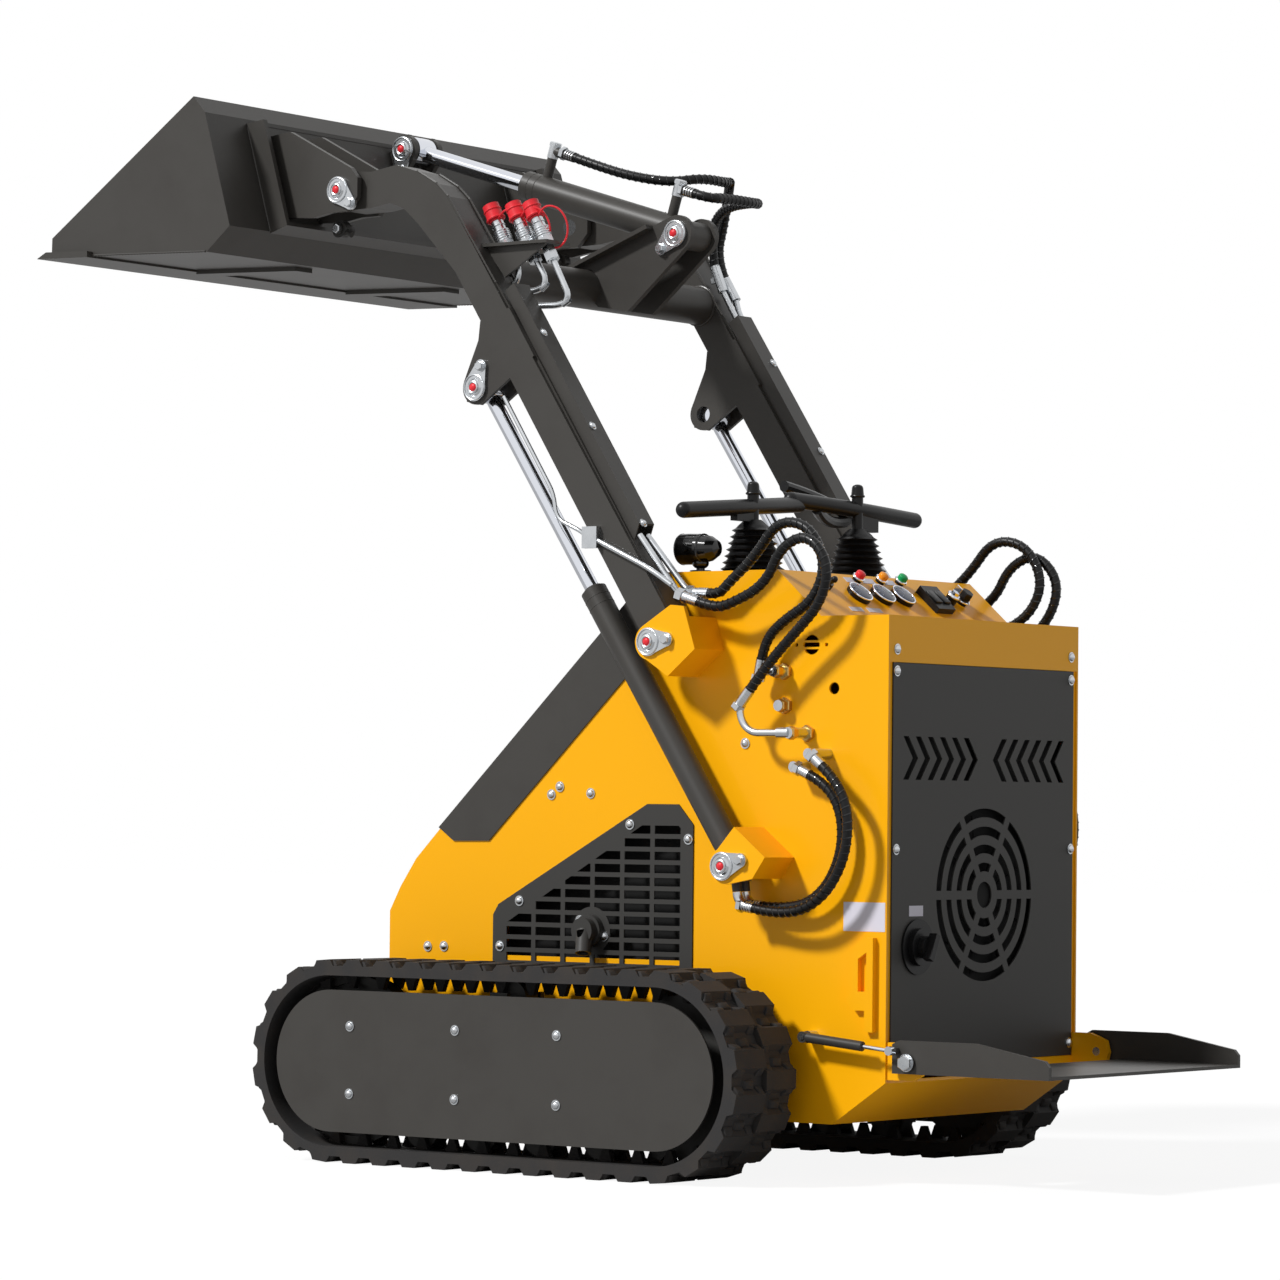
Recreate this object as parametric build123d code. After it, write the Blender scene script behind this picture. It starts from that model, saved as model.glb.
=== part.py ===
from build123d import *
import math
import os

# Mini skid steer loader on rubber tracks.
# Millimetres, X forward to the bucket, Y to the left, Z up from the ground.
# The working frame has X = 0 at the middle of the tracks; every piece is
# moved by -ORIGIN_X when it is written, so the whole machine is centred.

# Tracks
TRACK_WIDTH = 180.0
TRACK_GAP = 54.0
TRACK_PITCH = 72.0
TRACK_LINKS = 36
TRACK_HALF_RUN = 380.0
TRACK_OUTER_R = 190.0
LUG_HEIGHT = 12.0
LUG_FOOT = 46.0
LUG_TOP = 30.0
CARCASS_THICK = 18.0
TOOTH_HEIGHT = 26.0
TOOTH_BASE = 30.0
TOOTH_TOP = 10.0
TOOTH_WIDE = 12.0
TOOTH_GAP = 36.0
LOOSE_FIT = 0.3
COVER_R = 132.8
COVER_THICK = 4.0
COVER_INSET = 5.0
BEAM_HALF_LEN = 215.0
BEAM_LOW = 120.0
BEAM_HIGH = 250.0
ROLLER_R = 40.0
ROLLER_XS = (-210.0, -70.0, 70.0, 210.0)
CARRIER_R = 36.0
AXLE_R = 9.0
FORK_THICK = 10.0

# Body
BODY_HALF = 316.0
TRACK_HALF_GAUGE = BODY_HALF + TRACK_GAP + TRACK_WIDTH / 2
SIDE_THICK = 5.0
SHEET = 3.0
NOSE_X = 430.0
NOSE_TOP_Z = 468.0
HOOD_FOOT = (311.0, 623.0)
HOOD_HEAD = (-197.0, 1105.0)
TOP_Z = 1105.0
CONSOLE_X = -479.0
LEDGE_X = -577.0
REAR_X = -725.0
REAR_TOP_Z = 1019.0
REAR_SEAM_Z = 935.0
BELLY_Z = 106.0
REAR_CHAMFER_Z = 184.0
REAR_CHAMFER_X = -610.0
BELLY_END_X = 330.0
PANEL_FOOT_Z = 215.0
PANEL_HALF = BODY_HALF - 16.0
FAN_Z = 517.0
FAN_R = 164.0
FAN_RINGS = (59.0, 92.0, 125.0, 158.0)
FAN_SLOT = 16.0
FAN_SPOKES = (0.0, 61.0, 119.0)
FAN_HUB_R = 24.0
CHEVRONS = 6
CHEVRON_Y = 267.0
CHEVRON_Z = 764.0
CHEVRON_PITCH = 39.0
CHEVRON_HALF = 39.0
CHEVRON_LEAN = 30.0
CHEVRON_SLOT = 17.0
VENT = (-556.0, 967.0)
VENT_R = 18.0
SIDE_HOLE = (-607.0, 888.0)
OUTLET = (-62.0, 441.0)
OUTLET_R = 30.0

# Arm
PIVOT = (-258.0, 973.0)
LIFT_BASE = (-430.0, 566.0)
LIFT_EYE = (168.0, 1458.0)
TIP = (499.0, 1852.0)
TILT_BASE = (-38.0, 1771.0)
TILT_EYE = (647.0, 1983.0)
ARM_IN = BODY_HALF + 9.5
ARM_WIDE = 68.0
ARM_OUT = ARM_IN + ARM_WIDE
ARM_PLATE = 8.0
ARM_ANGLE = 56.75
ARM_FRONT = 15.0
ARM_REAR = -55.0
TIP_R = 38.0
HUB_R = 36.0
HUB_NECK_R = 21.0
HUB_GAP = 3.0
PIN_R = 16.0
PIN_FIT = 0.06
CROSS = (182.0, 1676.0)
CROSS_R = 38.0
SHELF_LOW = (224.0, 1716.0)
SHELF_HIGH = (20.0, 1790.0)
SHELF_NOTCH_X = 110.0
SHELF_HALF = 66.0
BOSS_IN = ARM_OUT + 3.5
BOSS_OUT = BOSS_IN + 10.0

# Cylinders
LIFT_MID = (ARM_IN + ARM_OUT) / 2
LIFT_BARREL_R = 25.0
LIFT_BARREL_LEN = 608.0
LIFT_ROD_R = 14.0
LIFT_GLAND = 20.0
LIFT_ENGAGE = 104.0
TILT_BARREL_R = 29.0
TILT_BARREL_LEN = 420.0
TILT_ROD_R = 16.0
TILT_ENGAGE = 78.0
EYE_R = 28.0
EYE_HALF = ARM_WIDE / 2 - ARM_PLATE - 1.0
WALL = 5.0
LUG_IN = 31.0
LUG_OUT = 43.0

# Bucket and quick attach
BACK_FOOT = (650.0, 1779.0)
BACK_HEAD = (718.0, 2003.0)
BUCKET_HALF = 556.0
BUCKET_SIDE = 6.0
BUCKET_SHEET = 6.0
MOUNT_HALF = 440.0
MOUNT_DEEP = 45.0
HOOK_DEEP = 29.0
EAR_THICK = 12.0
EAR_GAP = 6.0
WEAR_Y = 230.0

# Platform
STEP_HINGE = (-779.0, 223.0)
STEP_REAR_X = -1075.6
STEP_HALF = BODY_HALF + 10.0
STEP_FLOOR_X = -815.0
STEP_BOLT_R = 8.0

# Step struts
STRUT_BASE = (-570.0, 262.0)
STRUT_EYE = (-757.0, 244.0)
STRUT_Y = BODY_HALF + 32.0
STRUT_R = 9.0
STRUT_ROD_R = 4.0
STRUT_BODY_LEN = 128.0

# Controls on the console
LEVER_X = -317.0
LEVER_Y = 170.0
BOOT_R = 60.0
BOOT_TOP_R = 36.0
BOOT_RIBS = 7
BOOT_RIB = 12.0
GRIP_R = 15.0
GAUGE_R = 25.0
GAUGE_YS = (126.0, 51.0, -15.0)
BUTTON_YS = (82.0, 7.0, -57.0)
LAMP = (-262.0, 258.0, 1150.0)
LAMP_R = 29.0
ISOLATOR = (219.0, 425.0)
ISOLATOR_R = 50.0

# Steel pipes, couplers and hoses
HOSE_R = 9.0
PIPE_R = 6.0
FITTING_R = 10.0
HOSE_GAP = 0.3
TILT_CUT = 140.0
TILT_PORTS = ((376.0, 55.0), (54.0, 40.0))
PORT_RISE = 80.0
ARM_RING = 200.0
LIFT_RING = 46.0
STUB_TURN = 262.0
ELBOW_DROP = 70.0
STUB_GAP = 1.2
PORT_YS = (LIFT_MID - 12.5, LIFT_MID + 12.5)
COUPLER_LEAN = 27.0
COUPLER_Y = ARM_IN + 5.0
COUPLER_XS = (150.0, 96.0, 54.0)
SHELF_Z = 1727.0

FRONT_X = 1146.0
ORIGIN_X = (FRONT_X + STEP_REAR_X) / 2


def plate(points, y_low, y_high):
    """A flat plate with its outline in XZ, from y_low to y_high."""
    line = Polyline(*[(x, y_low, z) for x, z in points], close=True)
    return extrude(make_face(line), amount=y_high - y_low, dir=(0, 1, 0))


def disc(x, z, radius, y_low, y_high):
    base = Plane(origin=(x, y_low, z), z_dir=(0, 1, 0))
    return Solid.make_cylinder(radius, y_high - y_low, base)


def bar(start, end, radius):
    way = Vector(*end) - Vector(*start)
    return Solid.make_cylinder(radius, way.length, Plane(origin=start, z_dir=way))


def block(x_low, x_high, y_low, y_high, z_low, z_high):
    size = (x_high - x_low, y_high - y_low, z_high - z_low)
    mid = ((x_low + x_high) / 2, (y_low + y_high) / 2, (z_low + z_high) / 2)
    return Pos(*mid) * Box(*size)


def join(shapes):
    whole = shapes[0]
    for shape in shapes[1:]:
        whole = whole + shape
    return whole


def cut(shape, tools):
    for tool in tools:
        shape = shape - tool
    return shape


def other_side(shape):
    return mirror(shape, about=Plane.XZ)


def write(name, *shapes):
    solids = []
    for shape in shapes:
        solids.extend(shape.solids())
    group = Compound(solids)
    moved = group.moved(Location((-ORIGIN_X, 0, 0)))
    export_step(moved, "parts/" + name + ".step")


def write_pair(name, *shapes):
    write(name + "_left", *shapes)
    write(name + "_right", *[other_side(shape) for shape in shapes])


def along(origin, angle, run, off):
    """A point at run along a line and off to its front side, in XZ."""
    c = math.cos(math.radians(angle))
    s = math.sin(math.radians(angle))
    return (origin[0] + run * c + off * s, origin[1] + run * s - off * c)


# The tracks.
def loop_point(run, radius):
    """A point on the track loop, run millimetres along the pitch line."""
    flat = 2 * TRACK_HALF_RUN
    arc = TRACK_PITCH * TRACK_LINKS / 2 - flat
    run = run % (TRACK_PITCH * TRACK_LINKS)
    if run < flat:
        return (-TRACK_HALF_RUN + run, TRACK_OUTER_R + radius)
    if run < flat + arc:
        turn = math.pi / 2 - math.pi * (run - flat) / arc
        x = TRACK_HALF_RUN + radius * math.cos(turn)
        return (x, TRACK_OUTER_R + radius * math.sin(turn))
    if run < 2 * flat + arc:
        return (TRACK_HALF_RUN - (run - flat - arc), TRACK_OUTER_R - radius)
    turn = -math.pi / 2 - math.pi * (run - 2 * flat - arc) / arc
    x = -TRACK_HALF_RUN + radius * math.cos(turn)
    return (x, TRACK_OUTER_R + radius * math.sin(turn))


def toothed_loop(low, high, foot, top, phase):
    """Outline of the loop at radius low with one tooth to high per link."""
    points = []
    for link in range(TRACK_LINKS):
        mid = (link + phase) * TRACK_PITCH
        for shift, radius in ((-foot / 2, low), (-top / 2, high),
                              (top / 2, high), (foot / 2, low)):
            points.append(loop_point(mid + shift, radius))
    return points


def race(radius):
    """A plain face of the loop at one radius, in the XZ plane."""
    long = 2 * (TRACK_HALF_RUN + radius)
    face = Plane(origin=(0, 0, TRACK_OUTER_R), x_dir=(1, 0, 0), z_dir=(0, -1, 0))
    return face * SlotOverall(long, 2 * radius)


def race_block(radius, y_low, y_high):
    flat = race(radius).moved(Location((0, y_low, 0)))
    return extrude(flat, amount=y_high - y_low, dir=(0, 1, 0))


def make_track():
    outer = TRACK_OUTER_R - LUG_HEIGHT
    inner = outer - CARCASS_THICK
    y_in = TRACK_HALF_GAUGE - TRACK_WIDTH / 2
    y_out = TRACK_HALF_GAUGE + TRACK_WIDTH / 2
    rows = ((y_in, TRACK_HALF_GAUGE, 0.25), (TRACK_HALF_GAUGE, y_out, 0.75))
    belts = []
    for y_low, y_high, phase in rows:
        tread = toothed_loop(outer, TRACK_OUTER_R, LUG_FOOT, LUG_TOP, phase)
        belts.append(plate(tread, y_low, y_high) - race_block(inner, y_low, y_high))
    for side in (-1, 1):
        mid = TRACK_HALF_GAUGE + side * (TOOTH_GAP + TOOTH_WIDE) / 2
        y_low = mid - TOOTH_WIDE / 2
        y_high = mid + TOOTH_WIDE / 2
        teeth = toothed_loop(inner, inner - TOOTH_HEIGHT, TOOTH_BASE, TOOTH_TOP, 0.5)
        belts.append(race_block(inner + 4, y_low, y_high) - plate(teeth, y_low, y_high))
    return join(belts)


def make_track_frame():
    inner = TRACK_OUTER_R - LUG_HEIGHT - CARCASS_THICK
    y_in = TRACK_HALF_GAUGE - 65
    y_out = TRACK_HALF_GAUGE + 65
    mid_z = TRACK_OUTER_R
    beam = block(-BEAM_HALF_LEN, BEAM_HALF_LEN, y_in, y_out, BEAM_LOW, BEAM_HIGH)
    beam = beam - block(-BEAM_HALF_LEN, BEAM_HALF_LEN, y_in + 8, y_out - 8,
                        BEAM_LOW + 8, BEAM_HIGH - 8)
    pieces = [beam] + make_hangers()
    for side in (-1, 1):
        for y_low in (y_in, y_out - FORK_THICK):
            fork = block(min(side * BEAM_HALF_LEN, side * (TRACK_HALF_RUN + 45)),
                         max(side * BEAM_HALF_LEN, side * (TRACK_HALF_RUN + 45)),
                         y_low, y_low + FORK_THICK, mid_z - 50, mid_z + 50)
            pieces.append(fork)
        leg = block(side * 180 - 45, side * 180 + 45, BODY_HALF, y_in,
                    BEAM_LOW + 30, BEAM_HIGH - 10)
        pieces.append(leg)
    return join(pieces)


def make_cover():
    y_out = TRACK_HALF_GAUGE + TRACK_WIDTH / 2 - COVER_INSET
    cover = race_block(COVER_R, y_out - COVER_THICK, y_out)
    for x in (-160.0, 160.0):
        y_low = TRACK_HALF_GAUGE + 65
        cover = cover + disc(x, TRACK_OUTER_R, 16, y_low, y_out - COVER_THICK)
    return cover


def roller_z():
    inner = TRACK_OUTER_R - LUG_HEIGHT - CARCASS_THICK
    return TRACK_OUTER_R - inner + LOOSE_FIT + ROLLER_R


def carrier_z():
    inner = TRACK_OUTER_R - LUG_HEIGHT - CARCASS_THICK
    return TRACK_OUTER_R + inner - LOOSE_FIT - CARRIER_R


def make_hangers():
    """Plates under and over the beam that hold the rollers' axles."""
    plates = []
    for x in ROLLER_XS + (0.0,):
        for side in (-1, 1):
            y_low = TRACK_HALF_GAUGE + side * 50 - FORK_THICK / 2
            if x == 0.0:
                low, high = BEAM_HIGH, carrier_z() + 14
            else:
                low, high = roller_z() - 14, BEAM_LOW
            hanger = block(x - 20, x + 20, y_low, y_low + FORK_THICK, low, high)
            plates.append(hanger)
    return plates


def make_wheels():
    inner = TRACK_OUTER_R - LUG_HEIGHT - CARCASS_THICK
    half = TOOTH_GAP / 2 - LOOSE_FIT
    y_low = TRACK_HALF_GAUGE - half
    y_high = TRACK_HALF_GAUGE + half
    low = TRACK_HALF_GAUGE - 65 + FORK_THICK
    high = TRACK_HALF_GAUGE + 65 - FORK_THICK
    rim = inner - LOOSE_FIT
    idler = disc(TRACK_HALF_RUN, TRACK_OUTER_R, rim, y_low, y_high)
    for y_edge, y_deep in ((y_low, y_low + 9), (y_high - 9, y_high)):
        ring = disc(TRACK_HALF_RUN, TRACK_OUTER_R, rim - 16, y_edge, y_deep)
        idler = idler - (ring - disc(TRACK_HALF_RUN, TRACK_OUTER_R, 44, y_edge, y_deep))
    idler = idler + disc(TRACK_HALF_RUN, TRACK_OUTER_R, 20, low, high)
    teeth = 15
    points = []
    for index in range(teeth):
        for share, radius in ((-0.32, rim - 16), (-0.16, rim), (0.16, rim), (0.32, rim - 16)):
            turn = 2 * math.pi * (index + share) / teeth
            points.append((-TRACK_HALF_RUN + radius * math.cos(turn),
                           TRACK_OUTER_R + radius * math.sin(turn)))
    sprocket = plate(points, TRACK_HALF_GAUGE - 8, TRACK_HALF_GAUGE + 8)
    sprocket = sprocket + disc(-TRACK_HALF_RUN, TRACK_OUTER_R, 62, low, high)
    rollers = []
    reach = 50 - FORK_THICK / 2
    for x in ROLLER_XS:
        roller = disc(x, roller_z(), ROLLER_R, y_low, y_high)
        axle = disc(x, roller_z(), AXLE_R, TRACK_HALF_GAUGE - reach, TRACK_HALF_GAUGE + reach)
        rollers.append(roller + axle)
    carrier = disc(0, carrier_z(), CARRIER_R, y_low, y_high)
    axle = disc(0, carrier_z(), AXLE_R - 1, TRACK_HALF_GAUGE - reach, TRACK_HALF_GAUGE + reach)
    rollers.append(carrier + axle)
    return idler, sprocket, rollers


# The body.
def side_outline():
    return [(340, BELLY_Z), (NOSE_X, 190), (NOSE_X, NOSE_TOP_Z), (404, 515),
            (366, 569), HOOD_FOOT, HOOD_HEAD, (CONSOLE_X, TOP_Z),
            (LEDGE_X, REAR_TOP_Z), (REAR_X, REAR_TOP_Z), (REAR_X, REAR_CHAMFER_Z),
            (REAR_CHAMFER_X, BELLY_Z)]


GRILLE_ROWS = 12
GRILLE_ROW = 24.1
GRILLE_SLOT = 15.5
GRILLE_COLUMNS = 6
GRILLE_COLUMN = 69.6
GRILLE_BAR = 10.0
GRILLE = [(173, 372), (173, 466), (160, 486), (-190, 677), (-262, 677),
          (-296, 640), (-296, 372)]


def make_side():
    side = plate(side_outline(), BODY_HALF - SIDE_THICK, BODY_HALF)
    hole = [(148, 390), (148, 464), (-195, 652), (-255, 652), (-272, 634), (-272, 390)]
    side = side - plate(hole, BODY_HALF - SIDE_THICK, BODY_HALF)
    holes = [(PIVOT, PIN_R + PIN_FIT), (LIFT_BASE, PIN_R + PIN_FIT)]
    holes += [(hole, FITTING_R + HOSE_GAP) for hole in (UPPER_PORT, MIDDLE_PORT, LOWER_PORT)]
    holes += [(SIDE_HOLE, 11), ((VENT[0] - 33, VENT[1]), 3.5), ((VENT[0] + 33, VENT[1]), 3.5)]
    for (x, z), radius in holes:
        side = side - disc(x, z, radius, BODY_HALF - SIDE_THICK, BODY_HALF)
    vent = disc(VENT[0], VENT[1], VENT_R, BODY_HALF - SIDE_THICK, BODY_HALF)
    for rise in (-VENT_R / 3, VENT_R / 3):
        vent = vent - block(VENT[0] - VENT_R, VENT[0] + VENT_R, BODY_HALF - SIDE_THICK, BODY_HALF,
                            VENT[1] + rise - 2, VENT[1] + rise + 2)
    return side - vent


def make_grille():
    """A bolted cover with long slots; the top row follows its slope."""
    face = BODY_HALF
    frame = plate(GRILLE, face, face + SHEET)
    slope = [(140, 372), (140, 452), (-179, 638), (-250, 650), (-269, 632), (-269, 372)]
    window = plate(slope, face, face + SHEET)
    slots = []
    for row in range(GRILLE_ROWS):
        z = 381 + row * GRILLE_ROW
        for column in range(GRILLE_COLUMNS):
            x = 140 - column * GRILLE_COLUMN
            slots.append(block(x - GRILLE_COLUMN + GRILLE_BAR, x, face, face + SHEET,
                               z, z + GRILLE_SLOT))
    holes = [solid for solid in (Compound(slots) & window).solids() if solid.volume > 400]
    return frame - Compound(holes)


def make_outlet():
    """Exhaust outlet through the left grille, on its own round plate."""
    low = BODY_HALF + SHEET
    x, z = OUTLET
    ring = disc(x, z, OUTLET_R + 14, low - SHEET, low)
    horn = disc(x, z, OUTLET_R, low, low + 14) + disc(x, z, OUTLET_R - 6, low, low + 30)
    tail = bar((x, low + 20, z), (x - 8, low + 34, z - 42), 15)
    mouth = bar((x, low + 26, z), (x - 9.6, low + 36.8, z - 50.4), 11)
    return ring, (horn + tail) - mouth


def sheet_along(points, thick, y_low, y_high):
    """A bent sheet whose outside follows points, thick to their left."""
    inner = offset_points(points, thick)
    loop = list(points) + list(reversed(inner))
    return plate(loop, y_low, y_high)


def offset_points(points, thick):
    """The same open line moved by thick to its left, corners mitred."""
    moved = []
    count = len(points)
    for index, (x, z) in enumerate(points):
        ways = []
        for a, b in ((index - 1, index), (index, index + 1)):
            if a < 0 or b >= count:
                continue
            dx = points[b][0] - points[a][0]
            dz = points[b][1] - points[a][1]
            size = math.hypot(dx, dz)
            ways.append((-dz / size, dx / size))
        nx = sum(w[0] for w in ways) / len(ways)
        nz = sum(w[1] for w in ways) / len(ways)
        scale = thick / (nx * nx + nz * nz)
        moved.append((x + nx * scale, z + nz * scale))
    return moved


def make_shell():
    half = BODY_HALF - SIDE_THICK
    outline = side_outline()
    nose = sheet_along(outline[0:6], 4, -half, half)
    belly = sheet_along([outline[10], outline[11], (BELLY_END_X, BELLY_Z)], 6, -half, half)
    top = sheet_along([HOOD_HEAD, (CONSOLE_X, TOP_Z), (LEDGE_X, REAR_TOP_Z),
                       (REAR_X, REAR_TOP_Z), (REAR_X, REAR_SEAM_Z)], SHEET, -half, half)
    return nose, belly, top


def make_hood():
    reach = BODY_HALF + SHEET
    way = math.degrees(math.atan2(HOOD_HEAD[1] - HOOD_FOOT[1], HOOD_HEAD[0] - HOOD_FOOT[0]))
    length = math.hypot(HOOD_HEAD[0] - HOOD_FOOT[0], HOOD_HEAD[1] - HOOD_FOOT[1])
    head = along(HOOD_FOOT, way, length - 8, 0)
    skin = sheet_along([along(HOOD_FOOT, way, 6, SHEET), along(head, way, 0, SHEET)],
                       SHEET, -reach, reach)
    band = [along(HOOD_FOOT, way, 6, SHEET), (272, 604), (186, 605),
            along((186, 605), way, length - 130, 0), along(head, way, 0, SHEET)]
    hood = skin + plate(band, BODY_HALF, reach)
    return hood + plate(band, -reach, -BODY_HALF)


def make_rear_panel():
    half = PANEL_HALF
    panel = block(REAR_X, REAR_X + SHEET, -half, half, PANEL_FOOT_Z, REAR_SEAM_Z - 1)
    slots = []
    for side in (-1, 1):
        for index in range(CHEVRONS):
            tail = CHEVRON_Y - CHEVRON_PITCH * index
            tip = tail - CHEVRON_LEAN
            outline = [(tail, CHEVRON_HALF), (tip, 0), (tail, -CHEVRON_HALF),
                       (tail - CHEVRON_SLOT, -CHEVRON_HALF), (tip - CHEVRON_SLOT, 0),
                       (tail - CHEVRON_SLOT, CHEVRON_HALF)]
            line = Polyline(*[(REAR_X, side * y, CHEVRON_Z + z) for y, z in outline], close=True)
            slots.append(extrude(make_face(line), amount=SHEET, dir=(1, 0, 0)))
    flat = Plane(origin=(REAR_X, 0, FAN_Z), x_dir=(0, 1, 0), z_dir=(1, 0, 0))
    spokes = []
    for turn in FAN_SPOKES:
        spoke = flat * Rot(0, 0, turn) * Rectangle(2 * FAN_R, FAN_SLOT)
        spokes.append(extrude(spoke, amount=SHEET))
    for radius in FAN_RINGS:
        ring = extrude(flat * Circle(radius), amount=SHEET)
        ring = ring - extrude(flat * Circle(radius - FAN_SLOT), amount=SHEET)
        slots.append(cut(ring, spokes))
    slots.append(extrude(flat * Circle(FAN_HUB_R), amount=SHEET))
    return cut(panel, slots)


def make_rear_frame():
    """Posts and sill that carry the rear panel, with the step brackets."""
    half = BODY_HALF - SIDE_THICK
    pieces = []
    for side in (-1, 1):
        low = min(side * (half - 30), side * half)
        post = block(REAR_X + SHEET, REAR_X + SHEET + 4, low, low + 30,
                     REAR_CHAMFER_Z + 12, REAR_SEAM_Z)
        pieces.append(post)
    sill = block(REAR_X, REAR_X + SHEET, -half, half, REAR_CHAMFER_Z + 12, PANEL_FOOT_Z - 1)
    pieces.append(sill)
    return pieces


def make_step_bracket():
    y_low = STEP_HALF - 24
    lug = [(REAR_X, 190), (REAR_X, 257), (-766, 257), (-800, 244), (-806, 222),
           (-800, 200), (-780, 190)]
    bracket = plate(lug, y_low, y_low + 10)
    return bracket - disc(STEP_HINGE[0], STEP_HINGE[1], STEP_BOLT_R + PIN_FIT, y_low, y_low + 10)


def make_boss(centre, outline, walls):
    """An outer plate with a pin hole and a bent wall back to the body."""
    boss = plate(outline, BOSS_IN, BOSS_OUT)
    boss = boss + disc(centre[0], centre[1], 33, BOSS_IN, BOSS_OUT)
    boss = boss + sheet_along(walls, 8, BODY_HALF, BOSS_IN)
    return boss - disc(centre[0], centre[1], PIN_R + PIN_FIT, BOSS_IN, BOSS_OUT)


def pin_with_flag(x, z, y_in, y_out, flag_turn):
    """A round pin with a pear-shaped keeper plate and its bolt outside."""
    pin = disc(x, z, PIN_R, y_in, y_out)
    turn = math.radians(flag_turn)
    far = (x + 42 * math.cos(turn), z + 42 * math.sin(turn))
    side = (math.cos(turn + math.pi / 2), math.sin(turn + math.pi / 2))
    neck = [(x + 26 * side[0], z + 26 * side[1]), (x - 26 * side[0], z - 26 * side[1]),
            (far[0] - 13 * side[0], far[1] - 13 * side[1]),
            (far[0] + 13 * side[0], far[1] + 13 * side[1])]
    flag = disc(x, z, 26, y_out, y_out + 6) + plate(neck, y_out, y_out + 6)
    flag = flag + disc(far[0], far[1], 13, y_out, y_out + 6)
    return pin + flag + disc(far[0], far[1], 8, y_out + 6, y_out + 12)


# The arms.
def arm_point(run, off):
    return along(PIVOT, ARM_ANGLE, run, off)


def neck_outline(low):
    """Outline of the upper arm from run low to its round tip."""
    return [arm_point(low, ARM_FRONT), (222, 1680), (315, 1777), (350, 1808),
            (385, 1822), (433, 1815), (TIP[0] - 6, TIP[1] - TIP_R),
            (TIP[0] - 6, TIP[1] + TIP_R), (434, 1885), (371, 1894), (319, 1878),
            (272, 1851), (244, 1825), arm_point(low, ARM_REAR)]


def make_arm():
    gusset = [(160, 1583), (164, 1547), (198, 1470), (190, 1432), (157, 1425),
              (30, 1512), arm_point(720, ARM_REAR)]
    pieces = []
    for y_low, y_high in ((ARM_IN, ARM_IN + ARM_PLATE), (ARM_OUT - ARM_PLATE, ARM_OUT)):
        pieces.append(plate(neck_outline(0), y_low, y_high))
        pieces.append(disc(TIP[0], TIP[1], TIP_R, y_low, y_high))
        pieces.append(plate(gusset, y_low, y_high))
        pieces.append(disc(LIFT_EYE[0], LIFT_EYE[1], 32, y_low, y_high))
    inside = (ARM_IN + ARM_PLATE, ARM_OUT - ARM_PLATE)
    neck = plate(neck_outline(640), *inside)
    box = plate([arm_point(0, ARM_FRONT), arm_point(660, ARM_FRONT),
                 arm_point(660, ARM_REAR), arm_point(0, ARM_REAR)], *inside)
    web = neck + box + disc(TIP[0], TIP[1], TIP_R, *inside)
    wall = 7.0
    hollow = plate([arm_point(60, ARM_FRONT - wall), (222 - 6, 1680 + 2), (311, 1786),
                    (346, 1816), (385, 1832), (425, 1826), (425, 1877), (371, 1885),
                    (323, 1869), (277, 1843), (250, 1819), arm_point(60, ARM_REAR + wall)],
                   *inside)
    pieces.append(web - hollow)
    arm = join(pieces)
    arm = arm - disc(PIVOT[0], PIVOT[1], HUB_R + 3, *inside)
    arm = arm + disc(PIVOT[0], PIVOT[1], HUB_NECK_R, *inside)
    for y_low, y_high in ((BODY_HALF + HUB_GAP, inside[0]), (inside[1], ARM_OUT + 1)):
        arm = arm + disc(PIVOT[0], PIVOT[1], HUB_R, y_low, y_high)
    for x, z in (PIVOT, TIP):
        arm = arm - disc(x, z, PIN_R + PIN_FIT, BODY_HALF, BOSS_OUT)
    for y_low, y_high in ((ARM_IN, ARM_IN + ARM_PLATE), (ARM_OUT - ARM_PLATE, ARM_OUT)):
        arm = arm - disc(LIFT_EYE[0], LIFT_EYE[1], PIN_R + PIN_FIT, y_low, y_high)
    return arm


def make_arm_cover():
    """Bolted channel over the steel pipes on the rear of the arm."""
    base = ARM_REAR
    low = 190
    high = 760
    outer = [arm_point(low, base), arm_point(low + 20, base - 26),
             arm_point(high, base - 26), arm_point(high, base)]
    cover = plate(outer, ARM_IN + 8, ARM_OUT - 14)
    inner = [arm_point(low - 1, base), arm_point(low - 1, base - 23),
             arm_point(high + 1, base - 23), arm_point(high + 1, base)]
    return cover - plate(inner, ARM_IN + 11, ARM_OUT - 17)


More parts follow.
